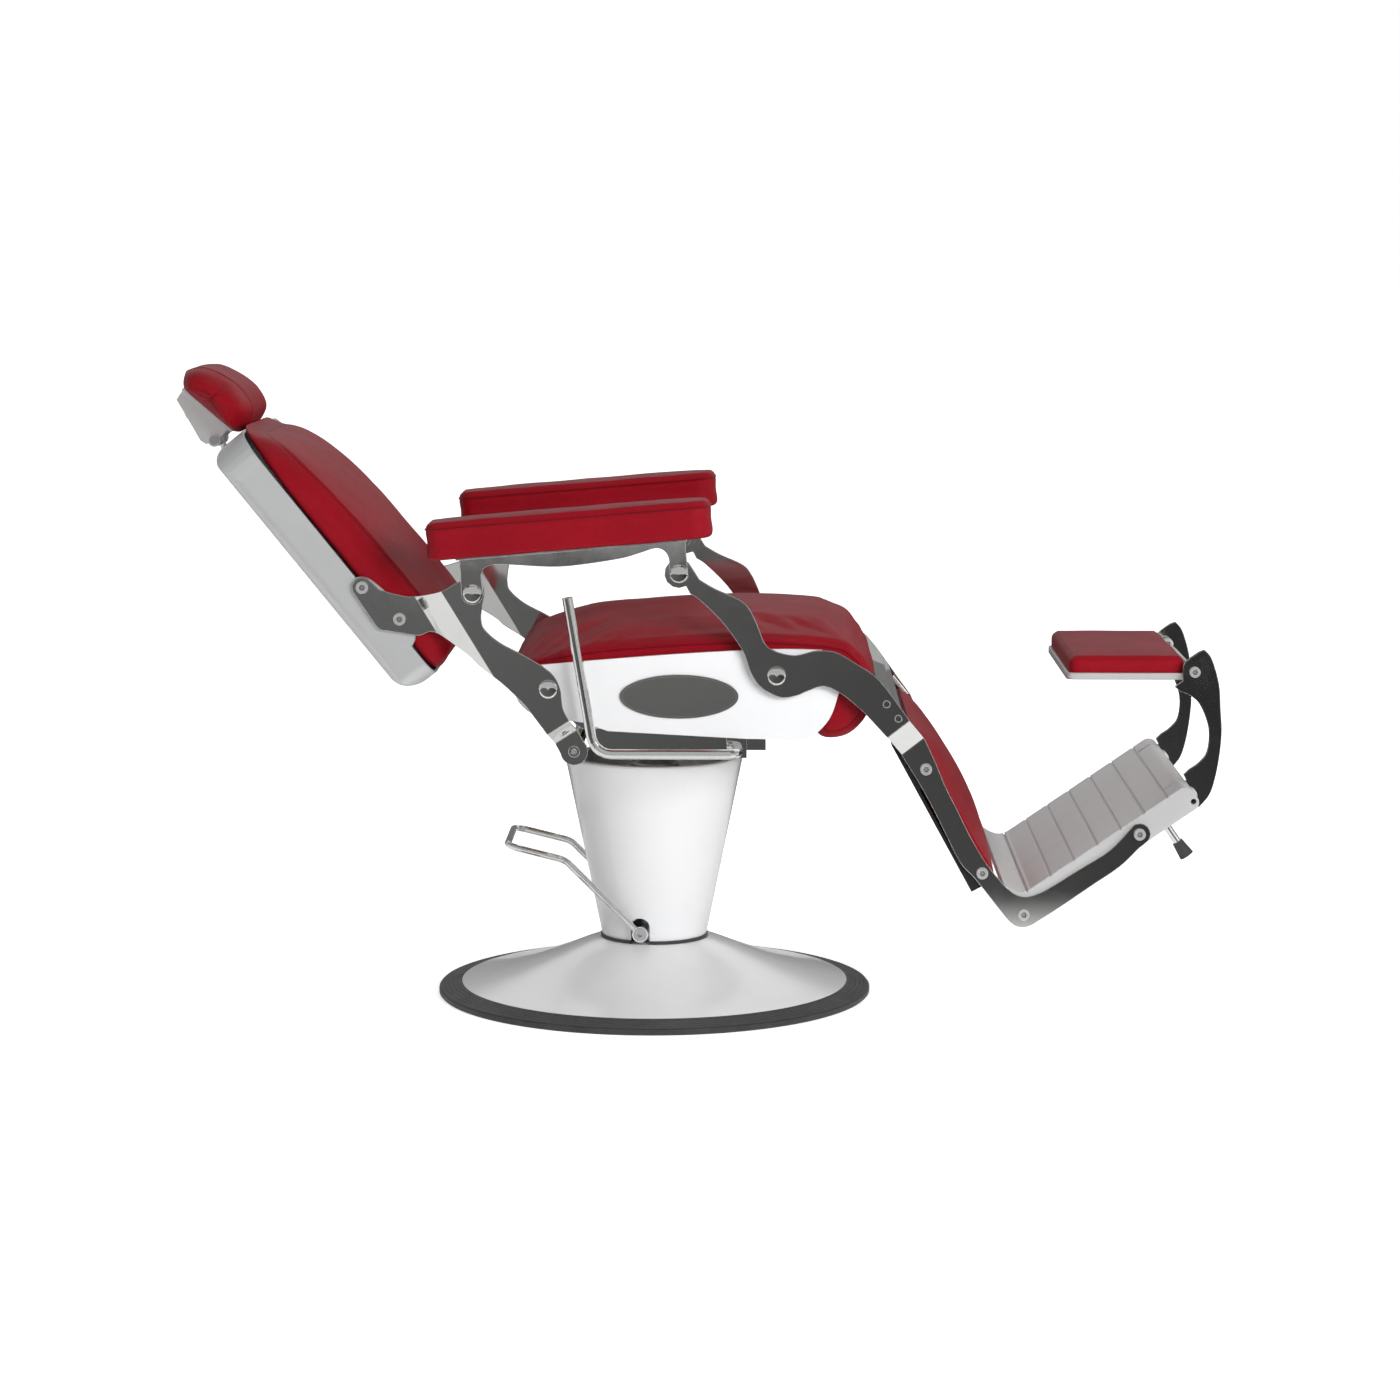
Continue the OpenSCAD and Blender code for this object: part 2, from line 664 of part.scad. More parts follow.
// Side profile of the seat cushion, counter-clockwise: the slab, and the roll over the front edge;
// the curve's points are shares of the cushion's length and height
function cushion_profile() = let (low = board_z + board_t) concat(
    [for (x = [seat_rear + 21, -60, 40, 140, board_front + 0.6]) [x, low + soft_gap]],
    [for (q = curve([[0.831, -0.098], [0.835, -0.301], [0.852, -0.439], [0.89, -0.472],
        [0.934, -0.415], [0.972, -0.26], [0.993, -0.057], [1, 0.187], [0.987, 0.472],
        [0.963, 0.715], [0.927, 0.87], [0.856, 0.951], [0.687, 1], [0.5, 0.984], [0.35, 0.927],
        [0.228, 0.846], [0.116, 0.724], [0.039, 0.577], [0, 0.374], [0.006, 0.146]], 2))
        [seat_rear + q[0] * seat_l, low + q[1] * seat_t]]);

module seat_cushion() {
    above = board_z + board_t + 20;
    color(red) bolster(cushion_profile(), frame_half - rail_t - soft_gap, 24, seat_crown,
        [board_front + 30, above + 18], function(q) min(1, max(0, (q[1] - above) / 70)), 3, 4);
}

badge_at = [44, 488];
badge_t = 3;

module oval_plates() {
    rim = 3;
    color(chrome) mirrored() translate([badge_at[0], -shell_y - badge_t, badge_at[1]])
        rotate([-90, 0, 0]) difference() {
            oval(badge_a, badge_b, badge_t);
            translate([0, 0, -1]) oval(badge_a - rim, badge_b - rim, 1 + 0.6);
        }
}

// Ellipse of half length a and half height b
module oval(a, b, h) {
    linear_extrude(h) polygon([for (i = [0 : 71]) [a * cos(5 * i), b * sin(5 * i)]]);
}

module seat_pivot_pins() {
    color(chrome) mirrored() for (p = [pivot_a, pivot_b]) {
        capped_pin(p, frame_half - rail_t, link_y + 0.2, pin_r);
        // spacer that holds the link off the shell
        translate([p[0], -link_y + plate_t + 0.3, p[1]]) rotate([-90, 0, 0]) difference() {
            cylinder(r = 11, h = link_y - plate_t - shell_y - 0.6);
            translate([0, 0, -1]) cylinder(r = pin_r - 0.5, h = 30);
        }
    }
}

module lever_bracket() {
    foot = 5;
    y = -frame_half + rail_t;
    color(chrome) difference() {
        plate_at(y, foot) polygon([[lever_x - 14, lever_z - 12], [lever_x + 14, lever_z - 12],
            [lever_x + 14, member_z - soft_gap], [lever_x + 1, member_z - soft_gap],
            [lever_x + 1, member_z + 20], [lever_x - 16, member_z + 20], [lever_x - 16, lever_z + 20]]);
        cross_bar([lever_x, lever_z], lever_r - 0.5 + running_gap, y - 1, y + foot + 1);
    }
}

// ---------- recline lever ----------

module recline_lever() {
    bend = [lever_x - 206, -lever_y, lever_z];
    grip_lean = 9.5;
    grip_l = 230;
    neck_y = -shell_y - 6;
    tip = bend + grip_l * [-sin(grip_lean), 0, cos(grip_lean)];
    color(chrome) union() {
        cross_bar([lever_x, lever_z], lever_r - 0.5, neck_y - 8, 88);
        bar_along(concat(
            bent([[lever_x, neck_y, lever_z], [lever_x, -lever_y, lever_z], bend, tip], [16, 30])),
            lever_r);
        // finger that works the gas spring's release
        plate_at(76, 6) polygon([[lever_x - 5, lever_z], [lever_x + 5, lever_z],
            [lever_x + 4, lever_z + 20], [lever_x - 4, lever_z + 20]]);
    }
}

// ---------- back ----------

bracket_y = back_half + plate_t + soft_gap;
bend_lean = 31.2;
bend_at = back_pt(138.9, 30.7);
bend_run = 42;
bolt_upper = back_pt(55.4, 164.6);
bolt_lower = back_pt(68.6, 94.9);
link_end = pivot_a + [14, -56];
link_turn = -2.6 - slope(link_end, pivot_q);
link_step = 20;
link_w = 38;

// Side outline of the rear link with its bracket to the back shell
function rear_link_outline() = concat(
    curve([pivot_c + [6, 18], pivot_c + [17, 6], pivot_c + [13, -21], pivot_c + [12, -39],
        pivot_c + [17, -53], pivot_c + [39, -72], pivot_a + [-33, 48], pivot_a + [3, 25],
        pivot_a + [17, 2], pivot_a + [21, -27],
        link_end + link_w / 2 * [cos(90 - link_turn), sin(90 - link_turn)]], 4),
    [link_end - link_w / 2 * [cos(90 - link_turn), sin(90 - link_turn)]],
    curve([pivot_a + [-34, -23], pivot_a + [-69, 10], pivot_a + [-101, 33], pivot_a + [-119, 49],
        bolt_lower + [51, -19], bolt_lower + [28, -24], bolt_lower + [0, -20]], 4),
    arc(bolt_lower + [-22, -3], 14, 275, 215, 4),
    arc(bolt_upper, 15, 215, 60, 8),
    curve([bolt_upper + [25, -3], bolt_upper + [50, -10], bolt_upper + [76, -13],
        bolt_upper + [117, -2], bolt_upper + [140, 11], pivot_c + [-6, 18]], 4));

module rear_link_right() {
    inner = -bracket_y;
    outer = -link_y;
    color(chrome) difference() {
        union() {
            intersection() {
                plate_at(outer - 5, link_y - back_half + 5) polygon(rear_link_outline());
                translate([bend_at[0], 0, bend_at[1]]) rotate([0, -bend_lean, 0])
                    translate([0, 0, -260]) linear_extrude(480)
                    polygon([[-200, inner], [-bend_run, inner], [0, outer], [260, outer],
                        [260, outer + plate_t], [2, outer + plate_t],
                        [2 - bend_run, inner + plate_t], [-200, inner + plate_t]]);
            }
            joggle(link_end, link_turn, link_step, link_w - 1, outer, -leg_y, plate_t);
            plate_at(-leg_y, plate_t) union() {
                translate(pivot_q) circle(r = link_w / 2 + 1);
                step_end = link_end + link_step * [cos(link_turn), -sin(link_turn)];
                side = link_w / 2 * [cos(90 - link_turn), sin(90 - link_turn)];
                polygon([step_end + side, step_end - side, pivot_q - side, pivot_q + side]);
            }
        }
        cross_bar(pivot_a, pin_r + running_gap, -link_y - 1, -link_y + plate_t + 1);
        cross_bar(pivot_c, pin_r + bore_slack, -link_y - 1, -link_y + plate_t + 1);
        cross_bar(pivot_q, shaft_r - 2 + bore_slack, -leg_y - 1, -leg_y + plate_t + 1);
        for (p = [bolt_upper, bolt_lower])
            cross_bar(p, bolt_r + 0.3, -bracket_y - 1, -bracket_y + plate_t + 1);
    }
}

module rear_link_left() mirror([0, 1, 0]) rear_link_right();

shaft_r = 10;
bolt_r = 4;

module cross_shaft() {
    color(chrome) difference() {
        union() {
            cross_bar(pivot_q, shaft_r, -leg_y + plate_t, leg_y - plate_t);
            cross_bar(pivot_q, shaft_r - 2, -leg_y - 1, leg_y + 1);
        }
        mirrored() cross_bar(pivot_q, 4, -leg_y - 2, -leg_y + 30);
    }
}

// Outer form of the back shell, in its own leaned frame, shrunk by a wall on all sides
module back_form(wall, open) {
    foot_r = 42 - wall;
    top_r = 22 - wall;
    corner = 60 - wall;
    half = back_half - wall;
    front = back_depth + open;
    edge_r = 16 - wall;
    intersection() {
        // side view
        translate([0, half, 0]) rotate([90, 0, 0]) linear_extrude(2 * half)
            polygon(concat(arc([wall + foot_r, wall + foot_r], foot_r, 180, 270, 8),
                [[front, wall], [front, back_h - wall]],
                arc([wall + top_r, back_h - wall - top_r], top_r, 90, 180, 6)));
        // front view
        rotate([90, 0, 90]) linear_extrude(front)
            polygon([for (q = slab(-back_h + wall, -wall, half, corner, 30 - wall, 8)) [q[1], -q[0]]]);
        // top view
        linear_extrude(back_h) polygon(concat(
            arc([wall + edge_r, half - edge_r], edge_r, 90, 180, 6),
            arc([wall + edge_r, -half + edge_r], edge_r, 180, 270, 6),
            [[front, -half], [front, half]]));
    }
}

function back_pt(x, z) = placed(back_foot, back_lean, x, z);

module back_shell() {
    color([0.88, 0.88, 0.89]) difference() {
        union() {
            leaned(back_foot, back_lean) difference() {
                back_form(0, 0);
                back_form(back_wall, 2);
            }
            // wings that carry the bracket's bolts
            mirrored() plate_at(-back_half + soft_gap, back_wall - 2 * soft_gap) polygon([
                for (q = concat([[48, 183]], curve([[58, 181], [67, 174], [72, 163], [77, 140],
                    [83, 112], [85, 96], [83, 82], [76, 68], [66, 57]], 3), [[48, 48]]))
                back_pt(q[0], q[1])]);
            // two ribs across the tray
            leaned(back_foot, back_lean) for (u = [110, back_h - 150])
                translate([back_wall - 1, -back_half + 20, u])
                    cube([20, 2 * (back_half - 20), 6]);
        }
        mirrored() for (p = [bolt_upper, bolt_lower])
            cross_bar(p, bolt_r + bore_slack, -back_half - 1, -back_half + back_wall + 1);
    }
}

module back_cushion() {
    over = 10.5;
    low = 3;
    color(red) leaned(back_foot, back_lean) translate([back_depth + soft_gap, 0, 0])
        rotate([0, 90, 0]) pad(slab(-back_h - over, -low, back_half - back_wall - soft_gap, 70, 34, 6),
            [[12, 0], [5, 3], [1, 14], [0, 26], [1, back_side_t - 14], [5, back_side_t - 4],
                [12, back_side_t]],
            [0.93, 0.82, 0.66, 0.42, 0.2], back_crown, [-back_h / 2, 0],
            function(p) 5 * cos(180 * (p[0] + back_h * 0.42) / back_h) - 3);
}

module back_bolts() {
    color(chrome) mirrored() for (p = [bolt_upper, bolt_lower]) {
        socket_screw(p, bracket_y, 9, 4.5, bolt_r, bracket_y - back_half + back_wall);
    }
}

// ---------- headrest ----------

stem_back = 3;
guide_w = stem_w + 24;
guide_low = back_h - 112;
guide_h = 100;
guide_t = stem_back + stem_t + 5;

module headrest_guide() {
    color(chrome) leaned(back_foot, back_lean) difference() {
        translate([-guide_t, -guide_w / 2, guide_low]) cube([guide_t, guide_w, guide_h]);
        translate([-stem_back - stem_t - 0.1, -stem_w / 2 - 0.1, guide_low - 1])
            cube([stem_t + 0.2, stem_w + 0.2, guide_h + 2]);
        translate([-guide_t - 1, 0, guide_low + guide_h / 2]) rotate([0, 90, 0])
            cylinder(r = 4 + bore_slack, h = 6.5, $fn = 32);
    }
}

module guide_knob() {
    color(black) leaned(back_foot, back_lean)
        translate([-guide_t, 0, guide_low + guide_h / 2]) rotate([0, -90, 0]) {
            cylinder(r1 = 9, r2 = 12, h = 5);
            translate([0, 0, 5]) cylinder(r = 12, h = 11);
            translate([0, 0, -4]) cylinder(r = 4, h = 5, $fn = 32);
        }
}

bracket_w = 84;
head_joint = placed(back_foot, back_lean, -stem_back - stem_t / 2, back_h + 22);
stem_down = 150;

module headrest_stem() {
    ear_w = 8;
    color(chrome) difference() {
        union() {
            leaned(back_foot, back_lean)
                translate([-stem_back - stem_t, -stem_w / 2, back_h - stem_down])
                cube([stem_t, stem_w, stem_down + 14]);
            plate_at(-stem_w / 2 + 0.5, stem_w - 1) knuckle(head_joint, 9);
        }
        mirrored() translate([head_joint[0], -stem_w / 2 - 1, head_joint[1]]) rotate([-90, 0, 0])
            cylinder(r = 14, h = ear_w + 1);
        cross_bar(head_joint, 4 + running_gap, -stem_w, stem_w);
    }
}

// Knuckle of the headrest's stem, drawn in the XZ plane
module knuckle(at, r) {
    translate(at) circle(r = r);
    foot = placed(back_foot, back_lean, -stem_back - stem_t / 2, back_h + 8);
    across = [cos(back_lean), sin(back_lean)];
    half = stem_t / 2 - 0.5;
    polygon([at + r * 0.8 * across, foot + half * across, foot - half * across,
        at - r * 0.8 * across]);
}

head_lean = back_lean + head_turn;
head_foot = back_pt(head_offset[0], back_h + head_offset[1]);

function head_pt(x, z) = placed(head_foot, head_lean, x, z);

module headrest_bracket() {
    cheek_t = 7;
    w = bracket_w;
    color(cast) difference() {
        union() {
            // mounting plate against the cushion
            leaned(head_foot, head_lean) translate([-6 - soft_gap, -w / 2, 14])
                cube([6, w, head_h - 26]);
            // wedge-shaped cheeks
            mirrored() plate_at(-w / 2 + 0.5, cheek_t) polygon([head_pt(-2, 19), head_pt(-2, head_h - 13),
                head_pt(-22, head_h - 15), head_pt(-46, 40), head_pt(-44, 30), head_pt(-22, 20)]);
            // back web between the cheeks
            plate_at(-w / 2 + 2, w - 4) polygon([head_pt(-5, head_h - 15), head_pt(-20.5, head_h - 17),
                head_pt(-34, head_h - 45), head_pt(-31, head_h - 47), head_pt(-18, head_h - 22),
                head_pt(-5, head_h - 20)]);
            // bearing eyes of the tilt hinge
            mirrored() cross_bar(head_joint, 10, -w / 2, -stem_w / 2 + 8 - 0.4);
        }
        cross_bar(head_joint, 4 + bore_slack, -w, w);
    }
}

module headrest_axle() {
    color(steel) {
        cross_bar(head_joint, 4, -bracket_w / 2 - 1.5, bracket_w / 2 + 1.5);
        mirrored() cross_bar(head_joint, 7, -bracket_w / 2 - 3.5, -bracket_w / 2 - 0.2);
    }
}

// Side profile of the headrest cushion in its own frame, counter-clockwise from its lower rear corner
function head_profile() = [for (q = curve([[2, 8], [10, 0], [36, 1], [54, 8], [head_t - 4, 26],
    [head_t, 50], [head_t - 5, 80], [head_t - 17, 104], [head_t - 36, head_h - 2], [20, head_h - 2],
    [5, head_h - 12], [1, head_h - 32], [0.5, 40]], 3)) head_pt(q[0] + 0.6, q[1])];

module headrest_cushion() {
    color(red) bolster(head_profile(), head_half, 26, 4, head_pt(head_t / 2, head_h / 2),
        function(q) q[1] > head_pt(head_t * 0.6, head_h / 2)[1] ? 1 : 0, 2, 4, 0.75);
}

// ---------- leg rest ----------

leg_turn = 52;
leg_step = 36.4;
leg_w = 41;
leg_bend = pivot_b + [176, -77];
leg_side = leg_w / 2 * [cos(90 - leg_turn), sin(90 - leg_turn)];
leg_low = leg_bend + leg_step * [cos(leg_turn), -sin(leg_turn)];
calf_bolts = [leg_low + [19, -33], leg_low + [102, -186]];
heel_bolt = leg_low + [163, -247];
toe_bolt = leg_low + [330, -128];

// Front link, from the arm pivot past the seat pivot to the offset bend
function front_link_outline() = let (line = slope(pivot_d, pivot_b)) concat(
    arc(pivot_d, 21, line + 346, line + 66, 10),
    curve(concat(beside(pivot_d, pivot_b, [[0.133, 15.5], [0.253, 22.5], [0.432, 37.5],
        [0.528, 38], [0.643, 30.8], [0.776, 20.1]]),
        [pivot_b + [-2, 36], pivot_b + [26, 30], pivot_b + [55, 36], pivot_b + [84, 35],
        pivot_b + [113, 19], pivot_b + [149, -7], leg_bend + leg_side]), 4),
    [leg_bend - leg_side],
    curve(concat([pivot_b + [128, -55], pivot_b + [99, -30], pivot_b + [70, -15],
        pivot_b + [45, -22], pivot_b + [28, -29], pivot_b + [5, -31], pivot_b + [-22, -17]],
        beside(pivot_d, pivot_b, [[0.861, -24], [0.739, -12.6], [0.617, -6.8], [0.433, -2.8],
        [0.236, -4.5], [0.157, -8.4]])), 4));

// Leg plate, from the offset bend round the heel to the toe
function leg_plate_outline() = concat(
    [leg_low + leg_side],
    curve([leg_low + [33, -24], leg_low + [49, -62], leg_low + [64, -91], leg_low + [82, -128],
        leg_low + [104, -166], leg_low + [122, -190]], 4),
    curve([leg_low + [136, -206], leg_low + [150, -217], leg_low + [166, -221],
        leg_low + [184, -216], leg_low + [201, -207], leg_low + [245, -179],
        leg_low + [288, -151], toe_bolt + [-8, 14]], 4),
    arc(toe_bolt, 16, 110, -60, 8),
    curve([toe_bolt + [-2, -22], leg_low + [302, -176], leg_low + [259, -206],
        leg_low + [216, -236], leg_low + [187, -255], leg_low + [172, -264],
        leg_low + [158, -266], leg_low + [144, -259], leg_low + [126, -238],
        leg_low + [93, -196], leg_low + [70, -171], leg_low + [48, -128], leg_low + [27, -86],
        leg_low + [8, -52], leg_low - leg_side + [2, -4], leg_low - leg_side], 4));

module leg_link_right() {
    color(chrome) difference() {
        union() {
            plate_at(-link_y, plate_t) polygon(front_link_outline());
            joggle(leg_bend, leg_turn, leg_step, leg_w - 1, -link_y, -leg_y, plate_t);
            plate_at(-leg_y, plate_t) polygon(leg_plate_outline());
        }
        cross_bar(pivot_d, pin_r + bore_slack, -link_y - 1, -link_y + plate_t + 1);
        cross_bar(pivot_b, pin_r + running_gap, -link_y - 1, -link_y + plate_t + 1);
        for (p = concat(calf_bolts, [heel_bolt, toe_bolt]))
            cross_bar(p, bolt_r + 0.3, -leg_y - 1, -leg_y + plate_t + 1);
        for (p = crossbar_at)
            cross_bar(p, 5 + bore_slack, -link_y - 1, -link_y + plate_t + 1);
    }
}

module leg_link_left() mirror([0, 1, 0]) leg_link_right();

crossbar_at = [pivot_b + [159, -41], pivot_b + [176, -62]];

module leg_crossbars() {
    color(chrome) union() {
        for (p = crossbar_at) cross_bar(p, 5, -link_y, link_y);
        // flat tie bar round the upper one, round tube round the lower one
        plate_at(-link_y + plate_t, 2 * (link_y - plate_t)) polygon([
            crossbar_at[0] + [-14, 10], crossbar_at[0] + [-9, 14],
            crossbar_at[0] + [14, -4], crossbar_at[0] + [9, -9]]);
        cross_bar(crossbar_at[1], 9, -link_y + plate_t, link_y - plate_t);
    }
}

module leg_bolts() {
    color(chrome) mirrored() {
        for (p = calf_bolts) socket_screw(p, leg_y, 8.5, 4, bolt_r, plate_t + calf_flange);
        for (p = [heel_bolt, toe_bolt]) socket_screw(p, leg_y, 8.5, 4, bolt_r, plate_t + 9);
    }
}

calf_flange = 4;
calf_board_t = 5;

// Lower rear corner of the calf tray, in line with the leg plates
calf_origin = placed(calf_bolts[1], calf_lean, -27, -30);

module calf_tray() {
    flange_half = leg_y - plate_t;
    color(steel) difference() {
        union() {
            leaned(calf_origin, calf_lean) {
                translate([0, -flange_half, 12]) cube([calf_board_t, 2 * flange_half, calf_l - 40]);
                mirrored() for (u = [12, 182])
                    translate([0, -flange_half, u]) cube([38, calf_flange, 36]);
            }
        }
        for (p = calf_bolts) cross_bar(p, bolt_r + bore_slack, -leg_y, leg_y);
    }
}

module calf_cushion() {
    color(red) leaned(calf_origin, calf_lean) translate([calf_board_t + soft_gap, 0, 0])
        rotate([0, 90, 0]) pad(slab(-calf_l + 20, -8, calf_half, 34, 34, 5),
            [[10, 0], [3, 3], [0, 12], [0, calf_side_t - 10], [3, calf_side_t - 3],
                [9, calf_side_t]],
            [0.92, 0.78, 0.56, 0.28], calf_crown, [6 - calf_l / 2, 0]);
}

// ---------- footrest ----------

tread_at = leg_low + [168, -213];

function tread_pt(x, z) = placed(tread_at, tread_rise, x, z);

// Upper face of the tread in its own frame: the upturned heel, then the straight run
function tread_top() = concat(curve([[-22, 28], [-19, 20], [-13, 10], [-5, 3], [6, 0]], 4),
    [[tread_l - 14, 0]]);

module footrest_tread() {
    groove_w = 2.4;
    groove_deep = 1.6;
    box_from = tread_l - 70;
    skirt = 8;
    top = tread_top();
    color(cast) difference() {
        leaned(tread_at, tread_rise) difference() {
            union() {
                // sheet of the tread
                plate_at(-tread_half, 2 * tread_half) polygon(concat(
                    [for (q = top) q],
                    [for (i = [len(top) - 1 : -1 : 0]) let (
                        t = unit(top[min(i + 1, len(top) - 1)] - top[max(i - 1, 0)]))
                        top[i] + tread_wall * [t[1], -t[0]]]));
                // side skirts, where the leg plates are bolted on
                mirrored() plate_at(-tread_half, skirt) polygon(concat(
                    [for (q = top) q],
                    [[tread_l, -14], [tread_l, -tread_depth + 10], [tread_l - 10, -tread_depth],
                        [tread_l - 120, -tread_depth], [20, -tread_depth], [-18, -tread_depth + 6],
                        [-34, -14], [-29, 20]]));
                // cast end box
                plate_at(-tread_half, 2 * tread_half) polygon(concat(
                    [[box_from, -1]], arc([tread_l - 14, -14], 14, 90, 0, 6),
                    arc([tread_l - 12, -tread_depth + 12], 12, 0, -90, 6),
                    [[box_from, -tread_depth]]));
                // hinge lugs beside each curved arm
                mirrored() translate([0, -crescent_y, 0]) for (y = [-12, 4])
                    plate_at(y, 8) polygon(concat(arc(lug_local, 12, -70, 60, 8),
                        [[box_from + 20, -6], [box_from + 20, -tread_depth]]));
            }
            // hollow of the end box
            plate_at(-tread_half + skirt, 2 * (tread_half - skirt)) difference() {
                polygon([[box_from + tread_wall, -tread_wall], [tread_l - tread_wall, -tread_wall],
                    [tread_l - tread_wall, -tread_depth + tread_wall],
                    [box_from + tread_wall, -tread_depth + tread_wall]]);
            }
            // slots for the curved arms
            mirrored() translate([lug_local[0] - 24, -crescent_y - 4, -tread_depth - 20])
                cube([80, 8, tread_depth + 40]);
            // cross grooves
            for (i = [0 : groove_n - 1]) translate([i * groove_pitch - groove_w / 2,
                -tread_half - 1, -groove_deep]) cube([groove_w, 2 * tread_half + 2, 10]);
        }
        cross_bar(crescent_hinge, crescent_pin_r + bore_slack, -tread_half - 1, tread_half + 1);
        for (p = [heel_bolt, toe_bolt])
            cross_bar(p, bolt_r + bore_slack, -tread_half - 1, tread_half + 1);
    }
}

lug_local = [tread_l - 8, -27];
crescent_hinge = tread_pt(lug_local[0], lug_local[1]);
crescent_pin_r = 4;
post_at = tread_l - 60;
post_len = 55;

module support_posts() {
    color(chrome) leaned(tread_at, tread_rise) for (s = [-1, 1])
        translate([post_at, s * crescent_y, -tread_depth - post_len]) cylinder(r = 6, h = post_len);
}

module post_ferrules() {
    color(black) leaned(tread_at, tread_rise) for (s = [-1, 1])
        translate([post_at, s * crescent_y, -tread_depth - post_len - 8]) difference() {
            cylinder(r1 = 11, r2 = 8, h = 25);
            translate([0, 0, 8]) cylinder(r = 6 + bore_slack, h = 30);
        }
}

pad_hinge = crescent_hinge + [6, 182];

// Crescent outline with its two cusps
function crescent_outline() = concat(
    curve([crescent_hinge + [16, -18], crescent_hinge + [32, 3], crescent_hinge + [42, 42],
        crescent_hinge + [47, 90], crescent_hinge + [45, 126], pad_hinge + [36, -18],
        pad_hinge + [25, 19], pad_hinge + [14, 33]], 5),
    curve([pad_hinge + [6, 30], pad_hinge + [-8, 20], pad_hinge + [-17, 9], pad_hinge + [-17, -13]], 4),
    [pad_hinge + [-29, -22]],
    curve([pad_hinge + [-20, -29], pad_hinge + [-4, -36], crescent_hinge + [16, 131],
        crescent_hinge + [28, 98], crescent_hinge + [26, 65], crescent_hinge + [14, 48],
        crescent_hinge + [0, 38]], 4),
    [crescent_hinge + [-8, 30]],
    curve([crescent_hinge + [-4, 22], crescent_hinge + [-12, 8], crescent_hinge + [-12, -8],
        crescent_hinge + [2, -18]], 4));

module crescent_arms() {
    color(chrome) difference() {
        mirrored() plate_at(-crescent_y - 3, 6) polygon(crescent_outline());
        cross_bar(crescent_hinge, crescent_pin_r + running_gap, -crescent_y - 9, crescent_y + 9);
        cross_bar(pad_hinge, crescent_pin_r + bore_slack, -crescent_y - 9, crescent_y + 9);
    }
}

module crescent_pins() {
    color(steel) for (s = [-1, 1])
        cross_bar(crescent_hinge, crescent_pin_r, s * crescent_y - 12, s * crescent_y + 12);
}

foot_origin = pad_hinge + [-186, -13];
tray_t = 4;
tray_lip = 10;
foot_pad_h = 22;

module foot_tray() {
    r = 16;
    boss_r = 9;
    color(cast) translate([foot_origin[0], 0, foot_origin[1]]) difference() {
        union() {
            difference() {
                linear_extrude(tray_lip) polygon(slab(0, foot_l, foot_half, r, 8));
                translate([0, 0, tray_t]) linear_extrude(30)
                    polygon(slab(tray_t, foot_l - tray_t, foot_half - tray_t, r - tray_t, 5));
            }
            mirrored() cross_bar(pad_hinge - foot_origin, boss_r, -foot_half, -foot_half + 14);
            // stiffening ribs under the tray
            for (y = [-90, 0, 90]) translate([20, y - 3, -8]) cube([foot_l - 50, 6, 9]);
        }
        cross_bar(pad_hinge - foot_origin, crescent_pin_r + running_gap, -foot_half - 1, -foot_half + 15);
        cross_bar(pad_hinge - foot_origin, crescent_pin_r + running_gap, foot_half - 15, foot_half + 1);
    }
}

module foot_cushion() {
    front = 4 + soft_gap;
    color(red) translate([foot_origin[0], 0, foot_origin[1] + tray_t + soft_gap])
        pad(slab(front, foot_l - 22, foot_half - front, 14, 10, 5),
            [[1, 0], [0, 4], [0, foot_pad_h - 6], [3, foot_pad_h - 2], [8, foot_pad_h]],
            [0.9, 0.72, 0.45], 9, [foot_l / 2, 0]);
}

module foot_pivot_bolts() {
    reach = crescent_y - foot_half + 3 + 12;
    color(chrome) mirrored() socket_screw(pad_hinge, crescent_y + 3, 8, 4, crescent_pin_r, reach);
}

// ---------- arms ----------

arm_y = link_y + side_play;
arm_line = slope(pivot_c, pivot_d);
arm_lean = arm_line + arm_tilt;
arm_origin = placed(pivot_c, arm_line, -54.8, 56.6);
arm_inset = 38;

function arm_pt(x, z) = placed(arm_origin, arm_lean, x, z);

// Side outline of the arm bracket, with a lug for each arm pivot
function arm_outline() = concat(
    arc(pivot_c, 16, arm_line + 174, arm_line + 349, 10),
    curve(beside(pivot_c, pivot_d, [[0.051, 10.6], [0.053, 26.6], [0.069, 35.2], [0.114, 38.9],
        [0.197, 36.5], [0.386, 27.9], [0.531, 26.7], [0.727, 30.1], [0.823, 35.3], [0.899, 40.1],
        [0.938, 36], [0.958, 26.3], [0.961, 13.2]]), 4),
    arc(pivot_d, 14, arm_line + 174, arm_line + 344, 10),
    beside(pivot_c, pivot_d, [[1.045, 12.8]]),
    [arm_pt(arm_l - arm_inset - 3, -soft_gap - 1), arm_pt(arm_inset + 3, -soft_gap - 1)],
    beside(pivot_c, pivot_d, [[-0.047, 31.5]]));

module arm_bracket_right() {
    flange_half = 30;
    flange_t = 4;
    color(chrome) difference() {
        union() {
            plate_at(-arm_y - plate_t, plate_t) polygon(arm_outline());
            leaned(arm_origin, arm_lean)
                translate([arm_inset, -arm_y - flange_half, -soft_gap - flange_t])
                cube([arm_l - 2 * arm_inset, 2 * flange_half - 14, flange_t]);
        }
        cross_bar(pivot_c, pin_r + running_gap, -arm_y - plate_t - 1, -arm_y + 1);
        cross_bar(pivot_d, pin_r + loop_play, -arm_y - plate_t - 1, -arm_y + 1);
    }
}

module arm_bracket_left() mirror([0, 1, 0]) arm_bracket_right();

